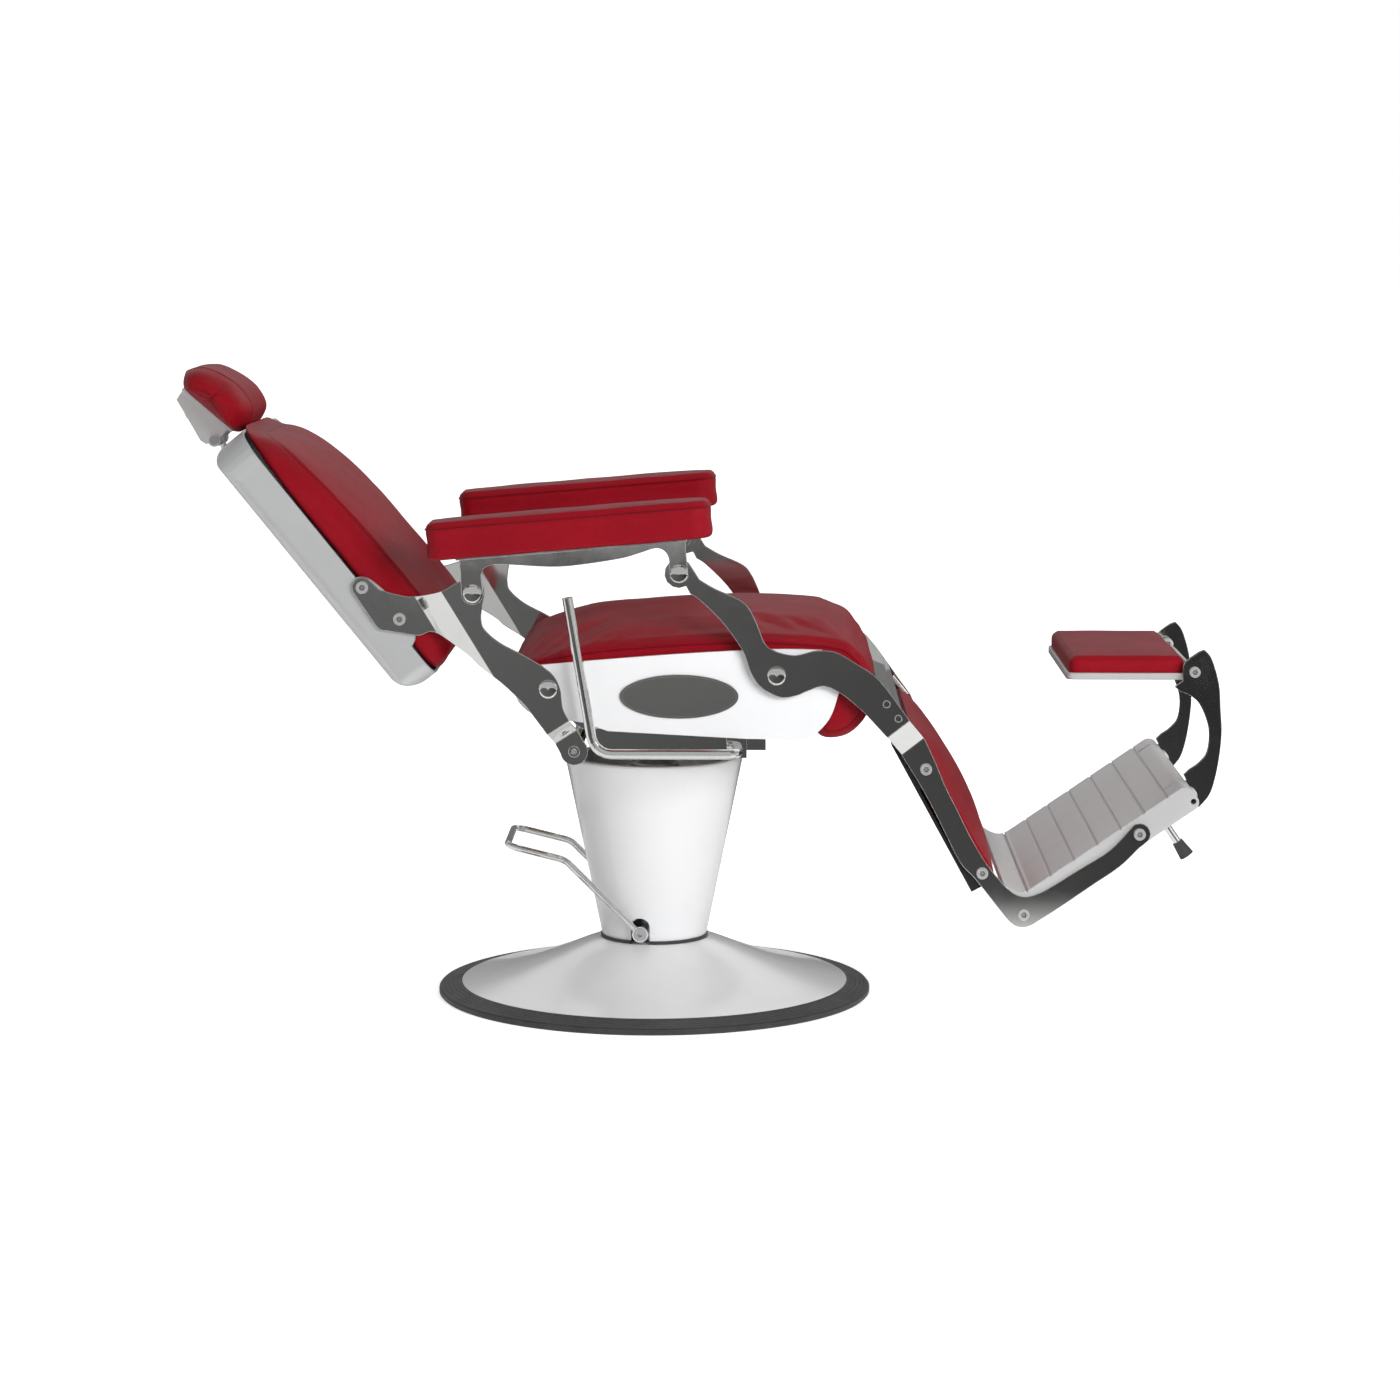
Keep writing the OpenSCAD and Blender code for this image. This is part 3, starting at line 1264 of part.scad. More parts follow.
module arm_pad_right() {
    color(red) leaned(arm_origin, arm_lean) translate([0, -arm_mid, 0])
        pad(slab(0, arm_l, arm_w / 2, 20, 32, 7),
            [[6, 0], [1.5, 3], [0, 10], [1, arm_h * 0.45], [0, arm_h - 14], [2, arm_h - 7],
                [7, arm_h - 3]],
            [0.86, 0.6, 0.3], 3, [arm_l / 2, 0]);
}

module arm_pad_left() mirror([0, 1, 0]) arm_pad_right();

module rear_arm_pins() {
    color(chrome) mirrored()
        capped_pin(pivot_c, link_y - plate_t - 1, arm_y + plate_t + 0.3, pin_r);
}

module front_arm_pins() {
    color(chrome) mirrored()
        capped_pin(pivot_d, link_y - plate_t - 1, arm_y + plate_t + 0.3, pin_r);
}

// ---------- gas spring ----------

gas_y = 112;
gas_anchor = [150, 412];
gas_pin_r = 5;
gas_r = 13;
gas_rod_r = 5;
gas_stroke_room = 70;
eye_play = 2.8;
gas_v = pivot_q - gas_anchor;
gas_len = norm(gas_v);
gas_turn = atan2(gas_v[1], -gas_v[0]);

// Stands the gas spring on its anchor, with its own X towards the cross shaft
module along_gas() {
    translate([gas_anchor[0], gas_y, gas_anchor[1]]) rotate([0, gas_turn + 180, 0]) children();
}

module gas_spring_rod() {
    head = 26;
    color(chrome) difference() {
        along_gas() union() {
            rotate([0, 90, 0]) cylinder(r = gas_rod_r, h = 150);
            rotate([0, 90, 0]) cylinder(r = 9, h = head);
            translate([0, -10, 0]) rotate([-90, 0, 0]) cylinder(r = 11, h = 20);
        }
        cross_bar(gas_anchor, gas_pin_r + running_gap, gas_y - 20, gas_y + 20);
    }
}

module gas_spring_cylinder() {
    cap = 44;
    eye_out = shaft_r + eye_play + 6;
    color(black) difference() {
        along_gas() union() {
            translate([cap, 0, 0]) rotate([0, 90, 0]) cylinder(r = gas_r, h = gas_len - cap - eye_out + 4);
            translate([gas_len, -10, 0]) rotate([-90, 0, 0]) cylinder(r = eye_out, h = 20);
        }
        along_gas() translate([cap - 1, 0, 0]) rotate([0, 90, 0]) {
            cylinder(r = gas_rod_r + running_gap, h = 130);
            translate([0, 0, 14]) cylinder(r = gas_r - 2, h = 130);
        }
        cross_bar(pivot_q, shaft_r + eye_play, gas_y - 20, gas_y + 20);
    }
}

// ---------- drawing ----------

base_ring();
base_dish();
ballast_plate();
column_gasket();
column_cover();
pump_body();
pump_pedal();
pedal_axle();
pump_ram();
swivel_bearing();
swivel_hub();
hub_screws();
seat_frame();
seat_shell();
seat_board();
seat_cushion();
oval_plates();
seat_pivot_pins();
lever_bracket();
recline_lever();
rear_link_right();
rear_link_left();
cross_shaft();
back_shell();
back_cushion();
back_bolts();
headrest_guide();
headrest_stem();
headrest_bracket();
headrest_cushion();
leg_link_right();
leg_link_left();
leg_crossbars();
leg_bolts();
calf_tray();
calf_cushion();
footrest_tread();
support_posts();
post_ferrules();
crescent_arms();
crescent_pins();
foot_tray();
foot_cushion();
foot_pivot_bolts();
arm_bracket_right();
arm_bracket_left();
arm_pad_right();
arm_pad_left();
rear_arm_pins();
front_arm_pins();
gas_spring_cylinder();
gas_spring_rod();
gas_spring_pin();
guide_knob();
headrest_axle();
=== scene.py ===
"""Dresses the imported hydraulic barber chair: upholstery, metal and enamel finishes, stage and camera."""

import json
import math

import bmesh
import bpy
from mathutils import Matrix, Vector, kdtree, noise


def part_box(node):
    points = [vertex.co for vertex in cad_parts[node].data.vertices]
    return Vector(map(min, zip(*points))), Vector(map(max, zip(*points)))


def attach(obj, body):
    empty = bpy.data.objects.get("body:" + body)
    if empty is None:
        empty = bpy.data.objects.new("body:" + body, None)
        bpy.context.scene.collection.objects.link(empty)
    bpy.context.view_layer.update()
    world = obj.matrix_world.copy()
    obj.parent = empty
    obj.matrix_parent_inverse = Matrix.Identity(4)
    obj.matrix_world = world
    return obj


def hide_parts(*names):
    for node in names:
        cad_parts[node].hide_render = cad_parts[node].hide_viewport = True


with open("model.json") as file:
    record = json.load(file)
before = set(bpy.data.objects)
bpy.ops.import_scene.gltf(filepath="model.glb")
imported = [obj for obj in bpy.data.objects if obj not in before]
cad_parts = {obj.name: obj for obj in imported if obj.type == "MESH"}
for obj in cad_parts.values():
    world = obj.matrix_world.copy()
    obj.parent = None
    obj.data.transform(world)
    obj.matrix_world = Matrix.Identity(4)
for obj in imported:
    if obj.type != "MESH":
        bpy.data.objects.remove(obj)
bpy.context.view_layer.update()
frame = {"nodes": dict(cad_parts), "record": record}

bl_info = {
    "name": "Hydraulic barber chair",
    "version": (1, 0, 0),
    "blender": (4, 5, 0),
    "location": "3D View > Sidebar > Barber chair",
    "description": "Upholstery, finishes and stage for a hydraulic barber chair",
    "category": "Object",
}

MM = 0.001
NODE_SLOT = {p["node"]: p["material_slot"] for p in frame["record"]["subparts"]}


# ---------- sizes and colours that a user may change ----------


def colour_prop(name, description, default):
    return bpy.props.FloatVectorProperty(
        name=name, description=description, default=default, subtype="COLOR", size=3, min=0, max=1
    )


def number_prop(name, description, default, **limits):
    return bpy.props.FloatProperty(name=name, description=description, default=default, **limits)


def length_prop(name, description, default):
    return number_prop(name, description, default, unit="LENGTH", min=0)


class ChairFinishes(bpy.types.PropertyGroup):
    """Colours and surface values of the chair's finishes."""

    leather: colour_prop("Leather", "Dyed colour of the upholstery leather", (0.30, 0.0042, 0.0125))
    # leather_dark is painted shade in the seam grooves; the thread uses it darkened
    leather_dark: colour_prop("Leather shade", "Colour in the leather's pores and seams", (0.11, 0.0028, 0.007))
    chrome: colour_prop("Chrome", "Colour of the polished chrome", (0.80, 0.81, 0.79))
    enamel: colour_prop("Enamel", "Colour of the white gloss enamel", (0.885, 0.89, 0.90))
    silver: colour_prop("Back enamel", "Colour of the back shell's satin enamel", (0.62, 0.625, 0.63))
    aluminium: colour_prop("Aluminium", "Colour of the cast aluminium", (0.88, 0.87, 0.87))
    nickel: colour_prop("Nickel", "Colour of the brushed nickel plates", (0.42, 0.425, 0.415))
    zinc: colour_prop("Zinc", "Colour of the zinc-plated steel", (0.55, 0.56, 0.58))
    bolt: colour_prop("Bolts", "Colour of the satin-plated bolt heads", (0.66, 0.66, 0.65))
    rubber: colour_prop("Rubber", "Colour of the moulded rubber", (0.030, 0.030, 0.031))
    paint: colour_prop("Black paint", "Colour of the gas spring and the calf tray", (0.012, 0.012, 0.013))
    birch: colour_prop("Plywood", "Colour of the birch plywood", (0.60, 0.42, 0.24))
    pore: length_prop("Grain", "Distance between the pores of the leather", 0.0017)


class ChairSizes(bpy.types.PropertyGroup):
    """Sizes of the upholstery work."""

    seam_depth: length_prop("Seam depth", "Depth of a sewn seam", 0.0013)
    stitch_length: length_prop("Stitch", "Length of one stitch", 0.0042)
    stitch_gap: length_prop("Stitch gap", "Gap between two stitches", 0.0028)
    thread: length_prop("Thread", "Radius of the sewing thread", 0.0005)
    piping: length_prop("Piping", "Radius of the piping round the calf cushion", 0.0021)
    edge_round: length_prop("Edge rounding", "Radius of the polished plates' edges", 0.0015)
    softness: length_prop("Softness", "Height of the leather's slow waves", 0.0012)


class ChairStage(bpy.types.PropertyGroup):
    """Camera and light of the stage."""

    lens: number_prop("Lens", "Focal length in millimetres", 94.63, min=1)
    camera_at: bpy.props.FloatVectorProperty(
        name="Camera", description="Place of the camera", default=(0.1572, -5.5527, 1.1693),
        subtype="TRANSLATION")
    camera_turn: bpy.props.FloatVectorProperty(
        name="Camera turn", description="Turn of the camera from looking straight down",
        default=(math.radians(82.6), 0, math.radians(0.9)), subtype="EULER")
    key: number_prop("Key", "Power of the key light in watts", 164, min=0)
    top: number_prop("Top", "Power of the overhead light in watts", 14, min=0)
    sky: number_prop("Sky", "Strength of the even light", 0.30, min=0)
    shine: number_prop("Shine", "Share of the white background that shows in reflections", 0.30, min=0, max=1)
    floor_shine: number_prop("Floor shine", "Share of the floor that shows in reflections", 0.45, min=0, max=1)
    floor_tone: number_prop("Floor tone", "Brightness of the floor round the chair", 0.66, min=0, max=1)
    wall: number_prop("Wall", "Tone of the studio's wall and roof in reflections", 0.18)
    # glow tones of the cards, seen only as painted reflections on the plates
    card_light: number_prop("Card, left", "Tone of the dark cards towards the headrest", 0.125)
    card_dark: number_prop("Card, right", "Tone of the dark cards towards the foot rest", 0.030)


def finishes():
    return bpy.context.scene.chair_finishes


def sizes():
    return bpy.context.scene.chair_sizes


# ---------- plane curves, in millimetres ----------


def curve(points, steps):
    """Catmull-Rom curve through a few points."""
    line = []
    for i in range(len(points) - 1):
        a, b = points[max(i - 1, 0)], points[i]
        c, d = points[i + 1], points[min(i + 2, len(points) - 1)]
        for k in range(steps):
            t = k / steps
            line.append(tuple(
                0.5 * (2 * q + (r - p) * t + (2 * p - 5 * q + 4 * r - s) * t * t
                       + (3 * q - 3 * r + s - p) * t ** 3)
                for p, q, r, s in zip(a, b, c, d)
            ))
    return line + [tuple(points[-1])]


def arc(centre, radius, start, end, steps):
    """Points on a circle from one angle to another, in degrees."""
    angles = [math.radians(start + (end - start) * i / steps) for i in range(steps + 1)]
    return [(centre[0] + radius * math.cos(a), centre[1] + radius * math.sin(a)) for a in angles]


def spaced(points, step):
    """The same closed line with a point about every step."""
    out = []
    for a, b in zip(points, [*points[1:], points[0]]):
        n = max(1, round(math.dist(a, b) / step))
        out += [tuple(p + (q - p) * k / n for p, q in zip(a, b)) for k in range(n)]
    return out


def slab(x0, x1, half, r_low, r_high, steps=12, step=5):
    """Rounded rectangle, counter-clockwise."""
    return spaced(
        arc((x1 - r_high, -half + r_high), r_high, -90, 0, steps)
        + arc((x1 - r_high, half - r_high), r_high, 0, 90, steps)
        + arc((x0 + r_low, half - r_low), r_low, 90, 180, steps)
        + arc((x0 + r_low, -half + r_low), r_low, 180, 270, steps), step)


def inset(outline, d):
    """Each point of a counter-clockwise outline moved inwards by d."""
    out = []
    n = len(outline)
    for i, p in enumerate(outline):
        a, b = outline[i - 1], outline[(i + 1) % n]
        tx, ty = b[0] - a[0], b[1] - a[1]
        size = math.hypot(tx, ty) or 1
        out.append((p[0] - d * ty / size, p[1] + d * tx / size))
    return out


def placed(origin, angle, x, z):
    """A point of a frame that is turned by an angle in the XZ plane."""
    c, s = math.cos(math.radians(angle)), math.sin(math.radians(angle))
    return origin[0] + x * c - z * s, origin[1] + x * s + z * c


SEAM_POINTS = (-4.5, -2.8, -1.6, -0.8, 0, 0.8, 1.6, 2.8, 4.5)
SEAM_CLEAR = 5.5
GROOVE_HALF = 1.1
LIP_AT, LIP_HALF, LIP_SHARE = 3.0, 1.5, 0.4
SHADE_HALF = 1.5


def sewn(section, marks, step, depth):
    """A section line with a point about every step, pressed in at the seams that marks gives as
    shares of its length. Each point is (a, b, seam), where seam is 1 in a seam and 0 away from it."""
    lengths = [0.0]
    for a, b in zip(section[:-1], section[1:]):
        lengths.append(lengths[-1] + math.dist(a, b))
    total = lengths[-1]
    seams = [m * total for m in marks]
    n = max(2, round(total / step))
    at = {round(total * i / n, 3) for i in range(n + 1)}
    for m in seams:
        at = {s for s in at if abs(s - m) > SEAM_CLEAR or s in (0, round(total, 3))}
        at |= {m + d for d in SEAM_POINTS if 0 <= m + d <= total}
    out = []
    for s in sorted(at):
        i = max(j for j in range(len(lengths) - 1) if lengths[j] <= s + 1e-6)
        t = (s - lengths[i]) / ((lengths[i + 1] - lengths[i]) or 1)
        a, b = section[i], section[i + 1]
        x, y = a[0] + (b[0] - a[0]) * t, a[1] + (b[1] - a[1]) * t
        size = math.dist(a, b) or 1
        nx, ny = (b[1] - a[1]) / size, -(b[0] - a[0]) / size
        push, seam = 0.0, 0.0
        for m in seams:
            d = s - m
            push -= depth * math.exp(-(d / GROOVE_HALF) ** 2)
            push += LIP_SHARE * depth * math.exp(-((abs(d) - LIP_AT) / LIP_HALF) ** 2)
            seam = max(seam, math.exp(-(d / SHADE_HALF) ** 2))
        out.append((x + nx * push, y + ny * push, seam))
    return out


# ---------- closed padded forms ----------


def new_piece(name, points, faces):
    """A smooth mesh object from points in millimetres, with its faces turned outwards."""
    mesh = bpy.data.meshes.new(name)
    mesh.from_pydata([tuple(c * MM for c in p) for p in points], [], faces)
    shaped = bmesh.new()
    shaped.from_mesh(mesh)
    bmesh.ops.recalc_face_normals(shaped, faces=shaped.faces)
    shaped.to_mesh(mesh)
    shaped.free()
    for polygon in mesh.polygons:
        polygon.use_smooth = True
    piece = bpy.data.objects.new(name, mesh)
    bpy.context.scene.collection.objects.link(piece)
    return piece


def skin(name, rings, seams, first, last):
    """A closed mesh object from equal rings of points in millimetres, with a pole at each end."""
    n = len(rings[0])
    points = [p for ring in rings for p in ring] + [first, last]
    top = (len(rings) - 1) * n
    faces = []
    for i in range(len(rings) - 1):
        for j in range(n):
            k = (j + 1) % n
            faces.append((i * n + j, i * n + k, (i + 1) * n + k, (i + 1) * n + j))
    faces += [(len(points) - 2, (j + 1) % n, j) for j in range(n)]
    faces += [(len(points) - 1, top + j, top + (j + 1) % n) for j in range(n)]
    piece = new_piece(name, points, faces)
    shade = piece.data.attributes.new("seam_shade", "FLOAT", "POINT")
    for i, value in enumerate(seams):
        for j in range(n):
            shade.data[i * n + j].value = value
    return piece


CAP_EASE = 1.6


def pad(name, outline, sides, crown, middle, marks, place, lift=lambda x, y: 0, caps=24, power=2.3,
        step=3.5):
    """A cushion from an outline: sides of (inset, height), and a crowned top that closes on the middle."""
    depth = sizes().seam_depth / MM
    section = sewn(curve(sides, 6), marks, step, depth)
    low, top = sides[0][1], sides[-1][1]
    rings, seams = [], []
    for a, b, seam in section:
        share = (b - low) / (top - low)
        ring = [(x, y, b + share * lift(x, y)) for x, y in inset(outline, a)]
        rings.append([place(*p) for p in ring])
        seams.append(seam)
    edge = inset(outline, sides[-1][0])
    for i in range(1, caps):
        k = 1 - (i / caps) ** CAP_EASE
        rings.append([
            place(middle[0] + (x - middle[0]) * k, middle[1] + (y - middle[1]) * k,
                  top + crown * (1 - k ** power)
                  + lift(middle[0] + (x - middle[0]) * k, middle[1] + (y - middle[1]) * k))
            for x, y in edge])
        seams.append(0)
    under = place(middle[0], middle[1], low)
    over = place(middle[0], middle[1], top + crown + lift(*middle))
    return skin(name, rings, seams, under, over)


def drawn_in(profile, d, middle, share):
    """A side profile drawn in by d, of which a share goes straight to the middle."""
    out = []
    for x, z in inset(profile, d * (1 - share)):
        vx, vz = middle[0] - x, middle[1] - z
        k = min(0.9, share * d / math.hypot(vx, vz))
        out.append((x + vx * k, z + vz * k))
    return out


CHEEK_RINGS = (0.35, 0.6, 0.8, 0.92)
END_STEP = 2.5
CROWN_POWER = 2.4


def bolster(name, profile, half, end, crown, middle, drop, marks, step=5, dome=2.5, gather=0.0):
    """A cushion swept along Y from a side profile, with a crown across its width. Its ends are rounded:
    end gives how far the profile is drawn in there, and from how far before the end."""
    depth = sizes().seam_depth / MM
    end_in, end_y = end
    ends = [(end_in * (1 - math.sin(math.radians(a))), half - end_y * (1 - math.cos(math.radians(a))))
            for a in range(0, 91, 3)]
    section = sewn(ends, marks, END_STEP, depth)
    n = max(4, round(2 * (half - end_y) / step))
    mid = [(0.0, -(half - end_y) + 2 * (half - end_y) * i / n, 0.0) for i in range(1, n)]
    rows = [(a, -y, s) for a, y, s in section] + mid + [(a, y, s) for a, y, s in reversed(section)]
    rings, seams = [], []
    face = drawn_in(profile, section[0][0], middle, gather)

    def fall(y):
        return crown * (abs(y) / half) ** CROWN_POWER

    def cheek(sign, k):
        y = section[0][1] + dome * (1 - k * k)
        return [(middle[0] + (x - middle[0]) * k, sign * y, middle[1] + (z - middle[1]) * k
                 - drop(x, z) * fall(section[0][1]) * k) for x, z in face]

    for k in CHEEK_RINGS:
        rings.append(cheek(-1, k))
        seams.append(0)
    for a, y, seam in rows:
        rings.append([(x, y, z - drop(x, z) * fall(y)) for x, z in drawn_in(profile, a, middle, gather)])
        seams.append(seam)
    for k in reversed(CHEEK_RINGS):
        rings.append(cheek(1, k))
        seams.append(0)
    y = section[0][1] + dome
    return skin(name, rings, seams, (middle[0], -y, middle[1]), (middle[0], y, middle[1]))


def soften(piece, seed, height, spread=0.085):
    """Slow, low waves over a padded piece, as stuffed leather has."""
    offset = Vector((seed * 3.1, seed * 1.7, seed * 2.3))
    normals = [v.normal.copy() for v in piece.data.vertices]
    shade = piece.data.attributes["seam_shade"].data
    for v, n in zip(piece.data.vertices, normals):
        wave = noise.noise(v.co / spread + offset) + 0.45 * noise.noise(v.co / (spread * 0.42) + offset)
        v.co += n * height * wave * (1 - 0.7 * shade[v.index].value)


HELD_LOW = 6
CLOTH = {
    "quality": 4, "mass": 0.4, "tension_stiffness": 12, "compression_stiffness": 12, "bending_stiffness": 1.5,
    "use_pressure": True,
}


def stuffed(piece, low, cap, pressure=4.0, voxel=0.006, frames=16):
    """Lets a copy of a cushion swell as cloth, held at its seams and where low says so, and moves the cushion's
    points as the copy's did, by cap at most."""
    shade = piece.data.attributes["seam_shade"].data
    seams = kdtree.KDTree(len(piece.data.vertices))
    for v in piece.data.vertices:
        if shade[v.index].value > 0.5:
            seams.insert(v.co, v.index)
    seams.balance()
    bpy.ops.object.select_all(action="DESELECT")
    twin = piece.copy()
    twin.data = piece.data.copy()
    bpy.context.scene.collection.objects.link(twin)
    twin.select_set(True)
    bpy.context.view_layer.objects.active = twin
    remesh = twin.modifiers.new("remesh", "REMESH")
    remesh.mode = "VOXEL"
    remesh.voxel_size = voxel
    bpy.ops.object.modifier_apply(modifier=remesh.name)
    before = [v.co.copy() for v in twin.data.vertices]
    held = twin.vertex_groups.new(name="held")
    for v in twin.data.vertices:
        near = seams.find(v.co)
        if low(v.co) or (near[0] is not None and near[2] < voxel * 0.9):
            held.add([v.index], 1.0, "REPLACE")
    cloth = twin.modifiers.new("cloth", "CLOTH")
    for key, value in CLOTH.items():
        setattr(cloth.settings, key, value)
    cloth.settings.uniform_pressure_force = pressure
    cloth.settings.vertex_group_mass = held.name
    cloth.settings.effector_weights.gravity = 0
    cloth.point_cache.frame_end = frames
    for number in range(1, frames + 1):
        bpy.context.scene.frame_set(number)
    swollen = twin.evaluated_get(bpy.context.evaluated_depsgraph_get())
    moves = [v.co - before[v.index] for v in swollen.data.vertices]
    places = kdtree.KDTree(len(before))
    for i, co in enumerate(before):
        places.insert(co, i)
    places.balance()
    for v in piece.data.vertices:
        near = places.find_n(v.co, 6)
        shares = [1 / (d + 0.001) ** 2 for _, _, d in near]
        move = sum((moves[i] * w for (_, i, _), w in zip(near, shares)), Vector()) / sum(shares)
        if move.length > cap:
            move *= cap / move.length
        v.co += move * (1 - shade[v.index].value)
    bpy.context.scene.frame_set(1)
    bpy.data.objects.remove(twin)


def stuffed_leaning(piece, place, lean, cap):
    """Stuffs a cushion that leans, held up to HELD_LOW millimetres from the board that it lies on."""
    normal = Vector((math.cos(math.radians(lean)), 0, math.sin(math.radians(lean))))
    foot = Vector(place(0, 0, HELD_LOW)) * MM
    stuffed(piece, lambda co: (co - foot).dot(normal) < 0, cap)


def trim(piece, material, body):
    """Dresses an upholstered piece or its thread and lets it ride on a body."""
    piece.data.materials.append(bpy.data.materials[material])
    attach(piece, body)


def upholstered(piece, node, body):
    """Dresses a cushion in leather and puts it in its solid's place."""
    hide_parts(node)
    trim(piece, "upholstery_leather", body)


STITCH_RINGS = ((-0.5, 0.35, -0.5), (-0.32, 1, 0.5), (0.32, 1, 0.5), (0.5, 0.35, -0.5))
THREAD_SIDES = 5


def stitches(name, line, normals, body):
    """Short raised threads along a closed line of points in millimetres. STITCH_RINGS gives each ring's place
    as a share of the stitch's length, and its width and height in radii of the thread."""
    length, gap, r = sizes().stitch_length / MM, sizes().stitch_gap / MM, sizes().thread / MM
    points = [Vector(p) for p in (*line, line[0])]
    outward = [Vector(n) for n in (*normals, normals[0])]
    reach = [0.0]
    for a, b in zip(points[:-1], points[1:]):
        reach.append(reach[-1] + (b - a).length)
    count = int(reach[-1] // (length + gap))
    n = THREAD_SIDES
    vertices, faces = [], []
    seg = 0
    for i in range(count):
        mid = (i + 0.5) * reach[-1] / count
        while reach[seg + 1] < mid:
            seg += 1
        t = (mid - reach[seg]) / (reach[seg + 1] - reach[seg])
        at = points[seg].lerp(points[seg + 1], t)
        out = outward[seg].lerp(outward[seg + 1], t).normalized()
        along = (points[seg + 1] - points[seg]).normalized()
        side = along.cross(out)
        first = len(vertices)
        for s, w, h in STITCH_RINGS:
            for k in range(n):
                a = 2 * math.pi * k / n
                vertices.append(
                    at + along * (s * length) + (side * math.cos(a) * w + out * (math.sin(a) * w + h)) * r)
        for row in range(len(STITCH_RINGS) - 1):
            for k in range(n):
                a, b = first + row * n + k, first + row * n + (k + 1) % n
                faces.append((a, b, b + n, a + n))
        faces.append(tuple(first + k for k in reversed(range(n))))
        faces.append(tuple(first + (len(STITCH_RINGS) - 1) * n + k for k in range(n)))
    trim(new_piece(name, vertices, faces), "thread", body)


def tube(name, line, radius, body, sides=10):
    """A round welt along a closed line of points in millimetres."""
    points = [Vector(p) for p in line]
    n = len(points)
    vertices, faces = [], []
    up = Vector((0.31, 0.17, 0.93))
    for i, p in enumerate(points):
        along = (points[(i + 1) % n] - points[i - 1]).normalized()
        up = (up - up.dot(along) * along).normalized()
        side = along.cross(up)
        for k in range(sides):
            t = 2 * math.pi * k / sides
            vertices.append(p + (up * math.cos(t) + side * math.sin(t)) * radius)
    for i in range(n):
        for k in range(sides):
            a, b = i * sides + k, i * sides + (k + 1) % sides
            c, d = (i + 1) % n * sides + (k + 1) % sides, (i + 1) % n * sides + k
            faces.append((a, b, c, d))
    trim(new_piece(name, vertices, faces), "upholstery_leather", body)


# ---------- shared shader groups ----------


def new_group(name, inputs, outputs):
    """An empty shader group with named float, vector or colour sockets."""
    group = bpy.data.node_groups.new(name, "ShaderNodeTree")
    for label, kind, default in inputs:
        socket = group.interface.new_socket(label, in_out="INPUT", socket_type=kind)
        socket.default_value = default
    for label, kind in outputs:
        group.interface.new_socket(label, in_out="OUTPUT", socket_type=kind)
    return group, group.nodes.new("NodeGroupInput"), group.nodes.new("NodeGroupOutput")


def add(tree, kind, **values):
    """A node with its settings and, by socket name or number, its input values."""
    node = tree.nodes.new("ShaderNode" + kind)
    inputs = values.pop("inputs", {})
    for key, value in values.items():
        setattr(node, key, value)
    for key, value in inputs.items():
        if isinstance(value, bpy.types.NodeSocket):
            tree.links.new(value, node.inputs[key])
        else:
            node.inputs[key].default_value = value
    return node


def maths(tree, operation, a, b=0.0, clamp=False):
    """A sum of two values, of the kind that operation names."""
    return add(tree, "Math", operation=operation, use_clamp=clamp, inputs={0: a, 1: b}).outputs[0]


def spread(tree, value, low, high, to_low, to_high):
    """A value taken from one range to another."""
    return add(tree, "MapRange", inputs={
        "Value": value, "From Min": low, "From Max": high, "To Min": to_low, "To Max": to_high}).outputs[0]


def leather_grain_group():
    """Pebbled grain, fine pores and slow tone changes of dyed leather."""
    group, given, out = new_group(
        "leather_grain",
        [("Pore spacing", "NodeSocketFloat", 0.0017), ("Softness", "NodeSocketFloat", 0.5)],
        [("Height", "NodeSocketFloat"), ("Tone", "NodeSocketFloat")])
    where = add(group, "TexCoord").outputs["Object"]
    scale = maths(group, "DIVIDE", 1.0, given.outputs["Pore spacing"])
    warp = add(group, "TexNoise", inputs={"Vector": where, "Scale": 210.0, "Detail": 2.0})
    bent_at = add(group, "VectorMath", operation="MULTIPLY_ADD",
                  inputs={0: warp.outputs["Color"], 1: (0.0011, 0.0011, 0.0011), 2: where}).outputs[0]
    pebble = add(group, "TexVoronoi", feature="SMOOTH_F1",
                 inputs={"Vector": bent_at, "Scale": scale, "Smoothness": 0.35}).outputs["Distance"]
    pebble = spread(group, pebble, 0.05, 0.75, 1.0, 0.0)
    fine = add(group, "TexNoise", inputs={"Vector": where, "Scale": 1400.0, "Detail": 3.0}).outputs["Fac"]
    slow = add(group, "TexNoise", inputs={
        "Vector": where, "Scale": 9.0, "Detail": 4.0, "Roughness": 0.6}).outputs["Fac"]
    fold = add(group, "TexNoise", inputs={"Vector": where, "Scale": 55.0, "Detail": 3.0}).outputs["Fac"]
    height = maths(group, "MULTIPLY_ADD", fine, 0.16)
    group.links.new(maths(group, "MULTIPLY", pebble, 0.62), height.node.inputs[2])
    soft = maths(group, "MULTIPLY", fold, given.outputs["Softness"])
    group.links.new(maths(group, "ADD", height, soft), out.inputs["Height"])
    tone = maths(group, "MULTIPLY_ADD", slow, 0.7)
    group.links.new(maths(group, "MULTIPLY", pebble, 0.3), tone.node.inputs[2])
    group.links.new(spread(group, tone, 0.25, 0.85, 0.0, 1.0), out.inputs["Tone"])


def edges_for_wear_and_light_group():
    """Rounded normal at sharp edges, and a mask that is 1 along them."""
    group, given, out = new_group(
        "edges_for_wear_and_light", [("Radius", "NodeSocketFloat", 0.0009)],
        [("Normal", "NodeSocketVector"), ("Mask", "NodeSocketFloat")])
    rounded = add(group, "Bevel", samples=4, inputs={"Radius": given.outputs["Radius"]}).outputs[0]
    plain = add(group, "NewGeometry").outputs["Normal"]
    same = add(group, "VectorMath", operation="DOT_PRODUCT", inputs={0: rounded, 1: plain}).outputs["Value"]
    group.links.new(rounded, out.inputs["Normal"])
    group.links.new(spread(group, same, 0.995, 0.8, 0.0, 1.0), out.inputs["Mask"])


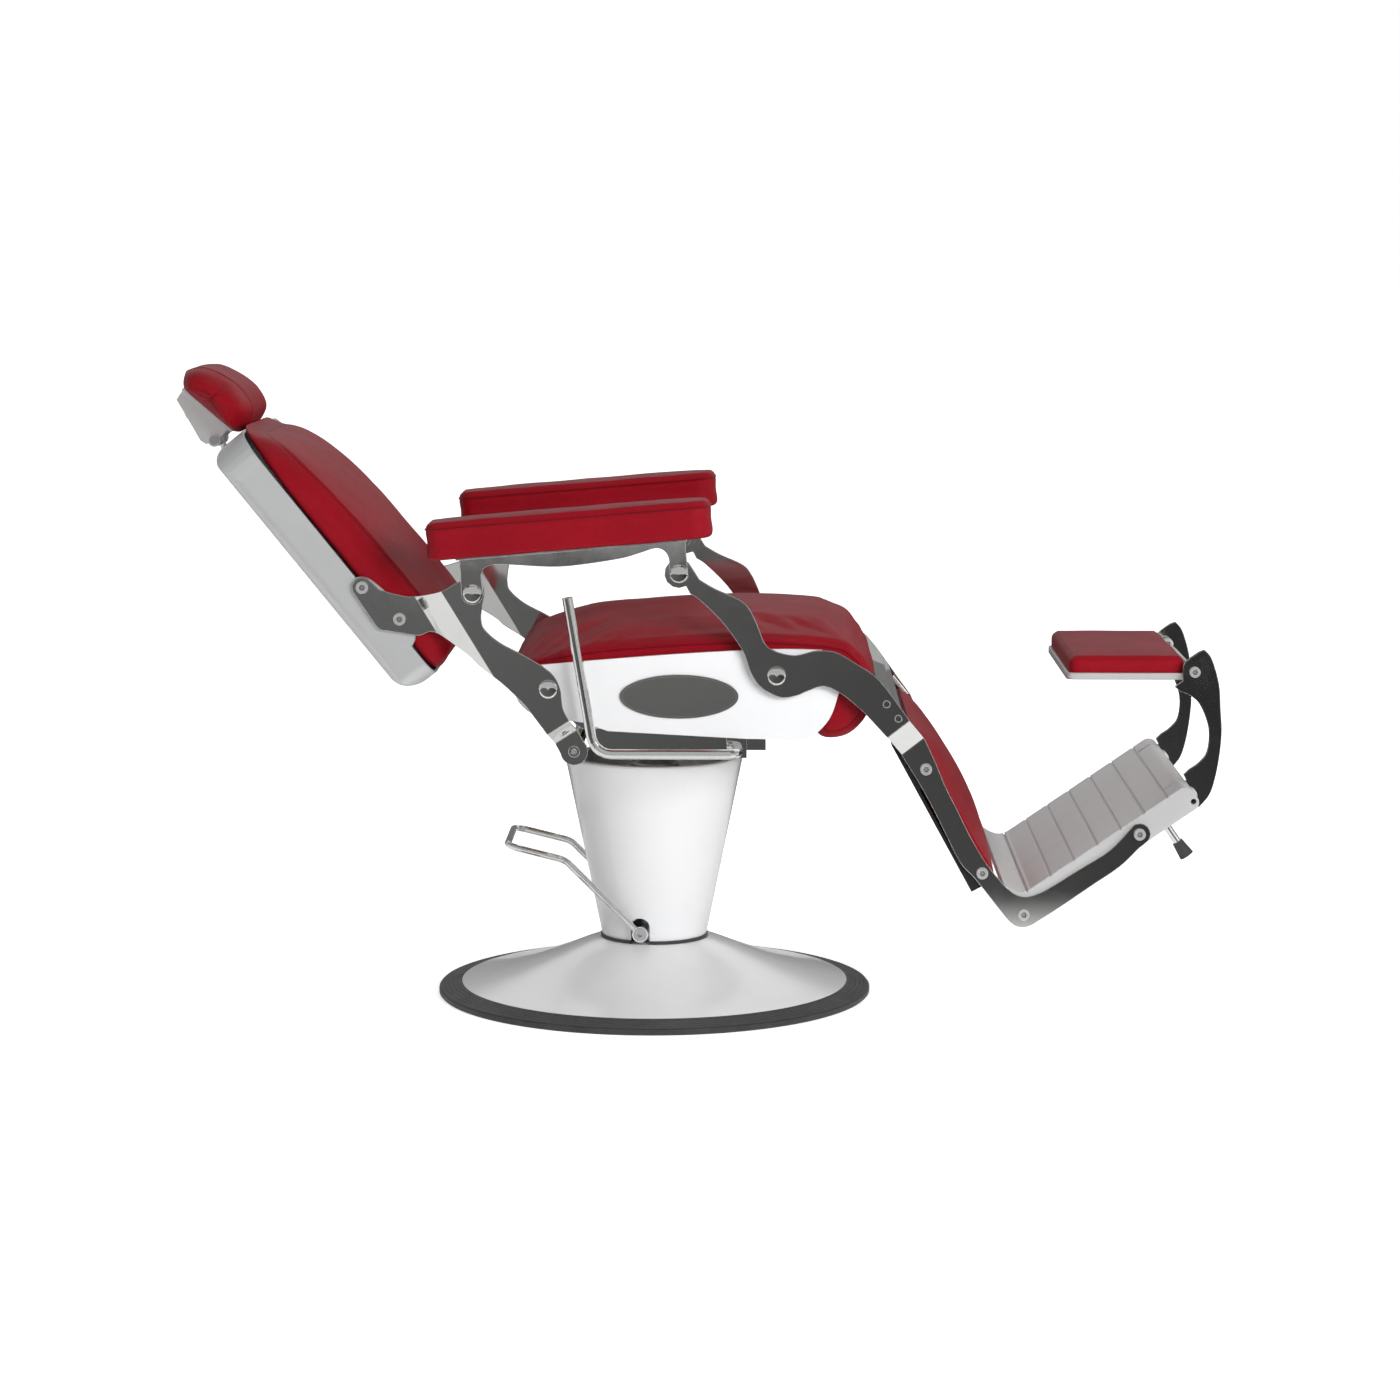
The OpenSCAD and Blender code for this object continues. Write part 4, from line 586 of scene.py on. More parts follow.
def smudge_group():
    """Slow changes of gloss, as wiped and handled metal or paint has."""
    group, given, out = new_group(
        "smudges",
        [("Scale", "NodeSocketFloat", 18.0), ("Low", "NodeSocketFloat", 0.05),
         ("High", "NodeSocketFloat", 0.12)],
        [("Gloss", "NodeSocketFloat"), ("Mask", "NodeSocketFloat")])
    where = add(group, "TexCoord").outputs["Object"]
    cloud = add(group, "TexNoise", inputs={
        "Vector": where, "Scale": given.outputs["Scale"], "Detail": 6.0, "Roughness": 0.65, "Distortion": 0.6,
    }).outputs["Fac"]
    mask = spread(group, cloud, 0.35, 0.72, 0.0, 1.0)
    gloss = add(group, "MapRange", inputs={"Value": mask})
    group.links.new(given.outputs["Low"], gloss.inputs["To Min"])
    group.links.new(given.outputs["High"], gloss.inputs["To Max"])
    group.links.new(gloss.outputs[0], out.inputs["Gloss"])
    group.links.new(mask, out.inputs["Mask"])


def brushed_group():
    """Fine parallel scratches along one direction."""
    group, given, out = new_group(
        "brushed", [("Stretch", "NodeSocketVector", (40.0, 1200.0, 1200.0))],
        [("Height", "NodeSocketFloat"), ("Tone", "NodeSocketFloat")])
    where = add(group, "TexCoord").outputs["Object"]
    drawn = add(group, "VectorMath", operation="MULTIPLY",
                inputs={0: where, 1: given.outputs["Stretch"]}).outputs[0]
    line = add(group, "TexNoise", inputs={
        "Vector": drawn, "Scale": 1.0, "Detail": 4.0, "Roughness": 0.7}).outputs["Fac"]
    group.links.new(line, out.inputs["Height"])
    group.links.new(spread(group, line, 0.3, 0.7, 0.0, 1.0), out.inputs["Tone"])


# ---------- finishes ----------


def new_finish(name):
    """A material with a Principled shader, and its tree and shader."""
    finish = bpy.data.materials.new(name)
    finish.use_nodes = True
    tree = finish.node_tree
    return finish, tree, tree.nodes["Principled BSDF"]


def use(tree, group, **inputs):
    """A shared group with its values, _ standing for a space in their names."""
    node = tree.nodes.new("ShaderNodeGroup")
    node.node_tree = bpy.data.node_groups[group]
    for key, value in inputs.items():
        socket = node.inputs[key.replace("_", " ")]
        if isinstance(value, bpy.types.NodeSocket):
            tree.links.new(value, socket)
        else:
            socket.default_value = value
    return node


def mixed(tree, mask, a, b):
    """Colour that goes from a to b with the mask."""
    node = add(tree, "Mix", data_type="RGBA")
    for index, value in ((6, a), (7, b)):
        if isinstance(value, bpy.types.NodeSocket):
            tree.links.new(value, node.inputs[index])
        else:
            node.inputs[index].default_value = (*value, 1) if len(value) == 3 else value
    tree.links.new(mask, node.inputs[0])
    return node.outputs[2]


def scaled(colour, factor):
    return tuple(min(1.0, c * factor) for c in colour)


def surface_with_wear_and_edge_light(tree, shader, colour, gloss, radius, scale, stain, edge_wear_and_light):
    """Colour with smudges, and with edges recoloured along the edge mask: wear on enamel and rubber, painted
    highlight on the metals, painted shade on the cast aluminium; and smudged gloss. Gives the colour and the
    rounded normal.
    """
    edge_wear_and_light_node = use(tree, "edges_for_wear_and_light", Radius=radius)
    smudge = use(tree, "smudges", Scale=scale, Low=gloss[0], High=gloss[1])
    base = mixed(tree, smudge.outputs["Mask"], tuple(colour), scaled(colour, stain))
    # edge colour factor: wear on enamel and rubber, painted highlight where it brightens metal edges, painted
    # shade where it darkens the cast edges
    base = mixed(tree, edge_wear_and_light_node.outputs["Mask"], base, scaled(colour, edge_wear_and_light))
    tree.links.new(base, shader.inputs["Base Color"])
    tree.links.new(smudge.outputs["Gloss"], shader.inputs["Roughness"])
    tree.links.new(edge_wear_and_light_node.outputs["Normal"], shader.inputs["Normal"])
    return base, edge_wear_and_light_node.outputs["Normal"]


def bumped(tree, shader, height, strength, distance, **over):
    """Raises the surface by a height, over another normal where one is given."""
    bump = add(tree, "Bump", inputs={"Height": height, "Strength": strength, "Distance": distance, **over})
    tree.links.new(bump.outputs[0], shader.inputs["Normal"])


def leather_finish():
    """Dyed leather with pebbled grain, darker in its pores, with painted shade in and beside its seam grooves.
    """
    f = finishes()
    finish, tree, shader = new_finish("upholstery_leather")
    grain = use(tree, "leather_grain", Pore_spacing=f.pore, Softness=0.5)
    seam = add(tree, "Attribute", attribute_name="seam_shade").outputs["Fac"]
    base = mixed(tree, grain.outputs["Tone"], scaled(f.leather, 0.80), scaled(f.leather, 1.12))
    # painted shade: the seam mask darkens the leather towards leather_dark in and beside the seam grooves
    base = mixed(tree, maths(tree, "MULTIPLY", seam, 0.75, True), base, tuple(f.leather_dark))
    tree.links.new(base, shader.inputs["Base Color"])
    gloss = spread(tree, grain.outputs["Tone"], 0.0, 1.0, 0.48, 0.38)
    tree.links.new(gloss, shader.inputs["Roughness"])
    bumped(tree, shader, grain.outputs["Height"], strength=0.55, distance=0.0005)
    shader.inputs["Specular IOR Level"].default_value = 0.14
    return finish


def thread_finish():
    """Waxed thread, darker than the leather."""
    f = finishes()
    _, tree, shader = new_finish("thread")
    twist = use(tree, "brushed", Stretch=(900.0, 900.0, 900.0))
    base = mixed(tree, twist.outputs["Tone"], scaled(f.leather_dark, 0.7), scaled(f.leather, 0.55))
    tree.links.new(base, shader.inputs["Base Color"])
    shader.inputs["Roughness"].default_value = 0.6


def metal_finish(
        name, colour, gloss, radius=0.0009, scale=16.0, brushed=None, edge_wear_and_light=1.12, metallic=1.0, recess_shade=0.0):
    """Metal with wiped gloss and edges brightened as painted highlight, with fine lines where it is brushed,
    and with painted shade in recesses within the given distance."""
    finish, tree, shader = new_finish(name)
    base, normal = surface_with_wear_and_edge_light(tree, shader, colour, gloss, radius, scale, stain=0.95, edge_wear_and_light=edge_wear_and_light)
    if recess_shade:
        # painted shade: ambient occlusion darkens the colour in hollows such as the bolts' hex sockets
        painted_recess_shade = add(tree, "AmbientOcclusion", samples=8, inputs={"Distance": recess_shade}).outputs["AO"]
        base = mixed(tree, spread(tree, painted_recess_shade, 0.35, 0.95, 1.0, 0.0), base, scaled(colour, 0.06))
        tree.links.new(base, shader.inputs["Base Color"])
    if brushed:
        lines = use(tree, "brushed", Stretch=brushed)
        bumped(tree, shader, lines.outputs["Height"], strength=0.12, distance=0.0003, Normal=normal)
    shader.inputs["Metallic"].default_value = metallic
    return finish


def cast_finish():
    """Cast aluminium with a fine blasted skin, and edges darkened as painted shade of their rounding."""
    finish, tree, shader = new_finish("cast_aluminium")
    # edges at 0.86 of the colour: painted shade of the rounded edge
    _, normal = surface_with_wear_and_edge_light(
        tree, shader, finishes().aluminium, gloss=(0.33, 0.39), radius=0.004, scale=9.0, stain=0.95, edge_wear_and_light=0.86)
    skin_noise = use(tree, "brushed", Stretch=(760.0, 760.0, 760.0))
    bumped(tree, shader, skin_noise.outputs["Height"], strength=0.14, distance=0.0004, Normal=normal)
    shader.inputs["Metallic"].default_value = 0.62
    return finish


def enamel_finish(name, colour, gloss, coat, metallic=0.0, radius=0.0012):
    """Stoved enamel with a faint orange peel and edges that are a little thinner."""
    finish, tree, shader = new_finish(name)
    _, normal = surface_with_wear_and_edge_light(tree, shader, colour, gloss, radius, scale=7.0, stain=0.965, edge_wear_and_light=0.95)
    where = add(tree, "TexCoord").outputs["Object"]
    peel = add(tree, "TexNoise", inputs={"Vector": where, "Scale": 190.0, "Detail": 1.0}).outputs["Fac"]
    bumped(tree, shader, peel, strength=0.05, distance=0.0004, Normal=normal)
    shader.inputs["Metallic"].default_value = metallic
    shader.inputs["Coat Weight"].default_value = coat
    shader.inputs["Coat Roughness"].default_value = 0.06
    return finish


def rubber_finish():
    """Moulded rubber with scuffed high edges."""
    finish, tree, shader = new_finish("black_rubber")
    _, normal = surface_with_wear_and_edge_light(
        tree, shader, finishes().rubber, gloss=(0.42, 0.62), radius=0.0014, scale=26.0, stain=1.8, edge_wear_and_light=3.0)
    where = add(tree, "TexCoord").outputs["Object"]
    skin_noise = add(tree, "TexNoise", inputs={"Vector": where, "Scale": 900.0, "Detail": 2.0}).outputs["Fac"]
    bumped(tree, shader, skin_noise, strength=0.25, distance=0.0003, Normal=normal)
    return finish


def plywood_finish():
    """Birch plywood with drawn grain and glue lines."""
    birch = finishes().birch
    finish, tree, shader = new_finish("plywood")
    grain = use(tree, "brushed", Stretch=(9.0, 260.0, 260.0))
    base = mixed(tree, grain.outputs["Tone"], scaled(birch, 0.72), tuple(birch))
    where = add(tree, "TexCoord").outputs["Object"]
    height = add(tree, "SeparateXYZ", inputs={0: where}).outputs[2]
    layer = maths(tree, "PINGPONG", height, 0.0012)
    line = spread(tree, layer, 0.0, 0.0003, 0.5, 0.0)
    base = mixed(tree, line, base, scaled(birch, 0.4))
    tree.links.new(base, shader.inputs["Base Color"])
    shader.inputs["Roughness"].default_value = 0.62
    bumped(tree, shader, grain.outputs["Height"], strength=0.2, distance=0.0003)
    return finish


class CHAIR_OT_finishes(bpy.types.Operator):
    """Makes the finishes and gives them to the metal, enamel, rubber and wood solids"""

    bl_idname = "chair.finishes"
    bl_label = "Finishes"

    def execute(self, context):
        f = finishes()
        leather_grain_group()
        edges_for_wear_and_light_group()
        smudge_group()
        brushed_group()
        thread_finish()
        # chrome keeps the default edge factor, which brightens its edges as painted highlight
        chrome = metal_finish("polished_chrome", f.chrome, gloss=(0.045, 0.10), radius=sizes().edge_round)
        black = enamel_finish("black_paint", f.paint, gloss=(0.25, 0.35), coat=0.5)
        by_slot = {
            "red_leather": leather_finish(),
            "polished_chrome": chrome,
            "zinc_steel": metal_finish("zinc_steel", f.zinc, gloss=(0.26, 0.44), radius=0.0008, scale=30.0),
            "brushed_nickel": metal_finish(
                # nickel edges more than twice as bright: painted highlight along the plates' edges
                "brushed_nickel", f.nickel, gloss=(0.28, 0.33), radius=0.0006, scale=8.0,
                brushed=(30.0, 1600.0, 1600.0), edge_wear_and_light=2.1),
            "cast_aluminium": cast_finish(),
            "white_enamel": enamel_finish("white_enamel", f.enamel, gloss=(0.16, 0.24), coat=0.35),
            "grey_enamel": enamel_finish(
                "grey_enamel", f.silver, gloss=(0.30, 0.40), coat=0.15, metallic=0.35, radius=0.006),
            "black_paint": black,
            "black_rubber": rubber_finish(),
            "plywood": plywood_finish(),
        }
        # bolt heads, with painted shade in their hex sockets
        bolts = metal_finish(
            "satin_bolts", f.bolt, gloss=(0.28, 0.36), radius=0.0012, scale=30.0, metallic=0.6, recess_shade=0.006)
        own = {
            "calf_tray": black, "seat_frame": chrome,
            "leg_bolts": bolts, "back_bolts": bolts, "foot_pivot_bolts": bolts,
        }
        for name, piece in frame["nodes"].items():
            for material_slot in piece.material_slots:
                material_slot.material = own.get(name, by_slot[NODE_SLOT[name]])
        return {"FINISHED"}


# ---------- upholstery ----------


SEAT_LOW = 482.3
SEAT_HELD = 0.492
SEAT_DROP, SEAT_DROP_RISE = 502, 70
SEAT_BOARD = [(-186, SEAT_LOW), (-60, SEAT_LOW), (100, SEAT_LOW), (232.6, SEAT_LOW)]
SEAT_ROLL = [
    (237, SEAT_LOW - 12), (239, 445), (248, 428), (268, 424), (292, 431), (312, 450), (323, 475), (327, 505),
    (320, 540), (307, 569), (288, 587), (250, 595), (160, 600), (60, 598), (-20, 592), (-85, 586), (-145, 571),
    (-186, 553), (-207, 528), (-204, 500)]


class CHAIR_OT_seat_cushion(bpy.types.Operator):
    """Crowned seat cushion with its roll over the front edge and a sewn boxing at each side"""

    bl_idname = "chair.seat_cushion"
    bl_label = "Seat cushion"

    def execute(self, context):
        profile = spaced(SEAT_BOARD + curve(SEAT_ROLL, 5), 5)
        piece = bolster(
            "seat_cushion_leather", profile, half=255.7, end=(24, 24), crown=25, middle=(262, 520),
            drop=lambda x, z: min(1, max(0, (z - SEAT_DROP) / SEAT_DROP_RISE)), marks=(0.34,))
        stuffed(piece, lambda co: co.z < SEAT_HELD, cap=0.0035)
        soften(piece, 1, sizes().softness)
        upholstered(piece, "seat_cushion", "seat")
        return {"FINISHED"}


BACK_FOOT, BACK_LEAN, BACK_H = (-357, 480), 38.8, 451
BACK_GAP, BACK_SIDE = 56.3, 54
BACK_BAND = [(12, 0), (5, 2), (1, 6), (0, 13), (3, 24), (10, 36), (20, 47), (31, BACK_SIDE)]
BACK_RIDGE = [(-462, 0), (-452, 3), (-437, 12), (-418, 24), (-395, 33), (-364, 40), (-324, 45.5), (-281, 49),
              (-238, 51.5), (-150, 54), (-60, 54), (-3, 51)]


def back_place(x, y, z):
    """From the cushion's own frame, with x down the back and z away from the shell, to the chair's."""
    px, pz = placed(BACK_FOOT, BACK_LEAN, BACK_GAP + z, -x)
    return px, y, pz


class CHAIR_OT_back_cushion(bpy.types.Operator):
    """Crowned back cushion with a ridge seam between its side band and its face"""

    bl_idname = "chair.back_cushion"
    bl_label = "Back cushion"

    def execute(self, context):
        ridge = curve(BACK_RIDGE, 8)

        def lift(x, y):
            for (a, low), (b, high) in zip(ridge[:-1], ridge[1:]):
                if x <= b:
                    return low + (high - low) * max(0, x - a) / (b - a) - BACK_SIDE
            return ridge[-1][1] - BACK_SIDE

        piece = pad(
            "back_cushion_leather", slab(-BACK_H - 6, -3, 229.7, 122, 34), BACK_BAND, crown=19,
            middle=(-BACK_H / 2, 0), lift=lift, marks=(0.93,), place=back_place, caps=34)
        stuffed_leaning(piece, back_place, BACK_LEAN, cap=0.005)
        soften(piece, 2, sizes().softness)
        upholstered(piece, "back_cushion", "back")
        return {"FINISHED"}


HEAD_LEAN, HEAD_H, HEAD_T = BACK_LEAN + 10.6, 121, 59
HEAD_SECTION = [
    (2, 8), (10, 0), (30, 1), (46, 8), (HEAD_T - 4, 26), (HEAD_T, 50), (HEAD_T - 4, 80), (HEAD_T - 13, 104),
    (HEAD_T - 30, HEAD_H - 2), (20, HEAD_H - 2), (5, HEAD_H - 12), (1, HEAD_H - 32), (0.5, 40)]


class CHAIR_OT_headrest(bpy.types.Operator):
    """Headrest bolster with a sewn cheek at each end"""

    bl_idname = "chair.headrest"
    bl_label = "Headrest"

    def execute(self, context):
        foot = placed(BACK_FOOT, BACK_LEAN, 30, BACK_H + 3.2)
        profile = spaced([placed(foot, HEAD_LEAN, x + 0.6, z) for x, z in curve(HEAD_SECTION, 6)], 3)
        limit = placed(foot, HEAD_LEAN, HEAD_T * 0.6, HEAD_H / 2)[1]
        piece = bolster(
            "headrest_leather", profile, half=130, end=(27, 72), crown=3,
            middle=placed(foot, HEAD_LEAN, HEAD_T / 2, HEAD_H / 2),
            drop=lambda x, z: min(1, max(0, (z - limit) / 12)), marks=(0.80,), step=4, dome=7, gather=0.8)
        stuffed(piece, lambda co: False, cap=0.003, pressure=2.5, voxel=0.005)
        soften(piece, 3, sizes().softness * 0.7, 0.05)
        upholstered(piece, "headrest_cushion", "headrest")
        return {"FINISHED"}


CALF_AT, CALF_LEAN, CALF_L = (476.1, 189.0), 28.7, 286
CALF_GAP, CALF_SIDE = 5.3, 37
CALF_BAND = [(10, 0), (3, 3), (0, 12), (0, CALF_SIDE - 10), (3, CALF_SIDE - 3), (9, CALF_SIDE)]


def calf_place(x, y, z):
    """From the cushion's own frame, with x down the calf and z away from its tray, to the chair's."""
    px, pz = placed(CALF_AT, CALF_LEAN, CALF_GAP + z, -x)
    return px, y, pz


class CHAIR_OT_calf_cushion(bpy.types.Operator):
    """Calf cushion with piping round its face"""

    bl_idname = "chair.calf_cushion"
    bl_label = "Calf cushion"

    def execute(self, context):
        piece = pad(
            "calf_cushion_leather", slab(-CALF_L + 20, -8, 242, 34, 34), CALF_BAND, crown=19,
            middle=(6 - CALF_L / 2, 0), marks=(0.72,), place=calf_place, caps=30)
        stuffed_leaning(piece, calf_place, CALF_LEAN, cap=0.004)
        soften(piece, 4, sizes().softness * 0.8)
        upholstered(piece, "calf_cushion", "leg")
        welt = inset(slab(-CALF_L + 20, -8, 242, 34, 34, step=6), 0.9)
        line = [calf_place(x, y, CALF_SIDE - 5.5) for x, y in welt]
        tube("calf_piping", line, sizes().piping / MM, "leg")
        return {"FINISHED"}


FOOT_L, FOOT_HALF, FOOT_GAP = 195, 181, 4.3
FOOT_BAND = [(1, 0), (0, 4), (0, 20), (3, 26), (9, 30)]


class CHAIR_OT_foot_cushion(bpy.types.Operator):
    """Plain padded cushion that lies in the foot tray"""

    bl_idname = "chair.foot_cushion"
    bl_label = "Foot cushion"

    def execute(self, context):
        low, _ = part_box("foot_cushion")
        x0, z0 = low.x / MM - FOOT_GAP, low.z / MM
        piece = pad(
            "foot_cushion_leather", slab(FOOT_GAP, FOOT_L - 22, FOOT_HALF - FOOT_GAP, 14, 10, 8, 4), FOOT_BAND,
            crown=5, middle=(FOOT_L / 2 - 9, 0), marks=(),
            place=lambda x, y, z: (x0 + x, y, z0 + z), power=3.2, step=2)
        soften(piece, 5, sizes().softness * 0.5)
        upholstered(piece, "foot_cushion", "foot_rest")
        return {"FINISHED"}


ARM_AT, ARM_TILT, ARM_L, ARM_W, ARM_H = (-313, 690), 4.8, 408, 90, 57
ARM_Y = 300
ARM_BAND = [(6, 0), (1.5, 3), (0, 10), (1, ARM_H * 0.45), (0, ARM_H - 14), (2, ARM_H - 7), (7, ARM_H - 3)]


class CHAIR_OT_arm_pads(bpy.types.Operator):
    """Two upholstered arm pads, each with a row of stitches under its top edge"""

    bl_idname = "chair.arm_pads"
    bl_label = "Arm pads"

    def execute(self, context):
        for side, node in ((-1, "arm_pad_right"), (1, "arm_pad_left")):
            def place(x, y, z, side=side):
                px, pz = placed(ARM_AT, ARM_TILT, x, z)
                return px, side * ARM_Y + y, pz

            outline = slab(0, ARM_L, ARM_W / 2, 20, 32, 14, 4)
            piece = pad(
                node + "_leather", outline, ARM_BAND, crown=3, middle=(ARM_L / 2, 0),
                marks=(0.80,), place=place, caps=14, power=2.6, step=3)
            soften(piece, 6 + side, sizes().softness * 0.6, 0.06)
            body = node.replace("arm_pad", "arm")
            upholstered(piece, node, body)
            seam_line, outer = inset(outline, 0.4), inset(outline, -2)
            line = [place(x, y, ARM_H - 12.6) for x, y in seam_line]
            normals = [Vector(place(*q, 0)) - Vector(place(*p, 0)) for p, q in zip(seam_line, outer)]
            stitches(node + "_stitching", line, normals, body)
        return {"FINISHED"}


# ---------- stage ----------


def stage_plane(name, low, high, z, material, **visible):
    """A level rectangle of the stage between two corners, and which rays meet it."""
    bpy.ops.object.select_all(action="DESELECT")
    bpy.ops.mesh.primitive_plane_add(size=1, location=((low[0] + high[0]) / 2, (low[1] + high[1]) / 2, z))
    plane = bpy.context.object
    plane.name = name
    plane.scale = (high[0] - low[0], high[1] - low[1], 1)
    bpy.ops.object.transform_apply(location=True, rotation=True, scale=True)
    plane.data.materials.append(material)
    for key, value in visible.items():
        setattr(plane, "visible_" + key, value)
    plane.select_set(False)
    return plane


def seen_share(tree, glossy):
    """1 for what the camera sees, a share of it in reflections, and 0 for the light that falls on the chair."""
    path = add(tree, "LightPath").outputs
    seen = maths(tree, "MAXIMUM", path["Is Camera Ray"], path["Is Transmission Ray"])
    return maths(tree, "MAXIMUM", seen, maths(tree, "MULTIPLY", path["Is Glossy Ray"], glossy))


def floor_material():
    """Matt floor that the camera sees as white, a little darker round the chair."""
    s = bpy.context.scene.chair_stage
    finish, tree, shader = new_finish("studio_floor")
    shader.inputs["Base Color"].default_value = (0.93, 0.93, 0.93, 1)
    shader.inputs["Roughness"].default_value = 0.95
    shader.inputs["Specular IOR Level"].default_value = 0.0
    where = add(tree, "TexCoord").outputs["Object"]
    away = add(tree, "VectorMath", operation="LENGTH", inputs={0: where}).outputs["Value"]
    lift = add(tree, "MapRange", interpolation_type="SMOOTHSTEP", inputs={
        "Value": away, "From Min": 0.9, "From Max": 2.6, "To Min": s.floor_tone, "To Max": 1.0}).outputs[0]
    strength = maths(tree, "MULTIPLY", seen_share(tree, s.floor_shine), lift)
    glow = add(tree, "Emission", inputs={"Strength": strength})
    both = add(tree, "AddShader", inputs={0: shader.outputs[0], 1: glow.outputs[0]})
    tree.links.new(both.outputs[0], tree.nodes["Material Output"].inputs["Surface"])
    return finish


def glowing(name):
    """A material that only glows, with its tree, the place's x, y and z, and the glow's strength."""
    finish = bpy.data.materials.new(name)
    finish.use_nodes = True
    tree = finish.node_tree
    tree.nodes.clear()
    where = add(tree, "SeparateXYZ", inputs={0: add(tree, "TexCoord").outputs["Object"]})
    glow = add(tree, "Emission")
    tree.links.new(glow.outputs[0], add(tree, "OutputMaterial").inputs["Surface"])
    return finish, tree, where.outputs, glow.inputs["Strength"]


def card_material(name, flip):
    """Dark glowing sheet, seen only in reflections as a painted reflection on the polished plates, darker
    towards the foot rest and white near the chair.
    """
    s = bpy.context.scene.chair_stage
    finish, tree, where, strength = glowing(name)
    along = spread(tree, where[0], -0.75, 1.25, s.card_light, s.card_dark)
    near = maths(tree, "MULTIPLY", where[1], flip)
    white = add(tree, "MapRange", interpolation_type="SMOOTHSTEP", inputs={
        "Value": near, "From Min": -1.35, "From Max": -0.85, "To Min": 0.0, "To Max": 1.0}).outputs[0]
    tone = maths(tree, "MULTIPLY_ADD", white, 0.75)
    tree.links.new(along, tone.node.inputs[2])
    tree.links.new(tone, strength)
    return finish


def wall_material(name, tone, low=20.0, high=21.0):
    """A glowing sheet of one tone, seen only in reflections as a painted reflection, which turns white between
    two heights.
    """
    finish, tree, where, strength = glowing(name)
    tree.links.new(spread(tree, where[2], low, high, tone, 1.0), strength)
    return finish


def area_lamp(name, at, target, size, power, mirrored):
    """A rectangular lamp that aims at a point and shows in reflections only where mirrored says so."""
    lamp = bpy.data.lights.new(name, "AREA")
    lamp.shape = "RECTANGLE"
    lamp.size, lamp.size_y = size
    lamp.energy = power
    holder = bpy.data.objects.new(name, lamp)
    bpy.context.scene.collection.objects.link(holder)
    holder.location = at
    holder.rotation_euler = (Vector(target) - Vector(at)).to_track_quat("-Z", "Y").to_euler()
    holder.visible_glossy = mirrored


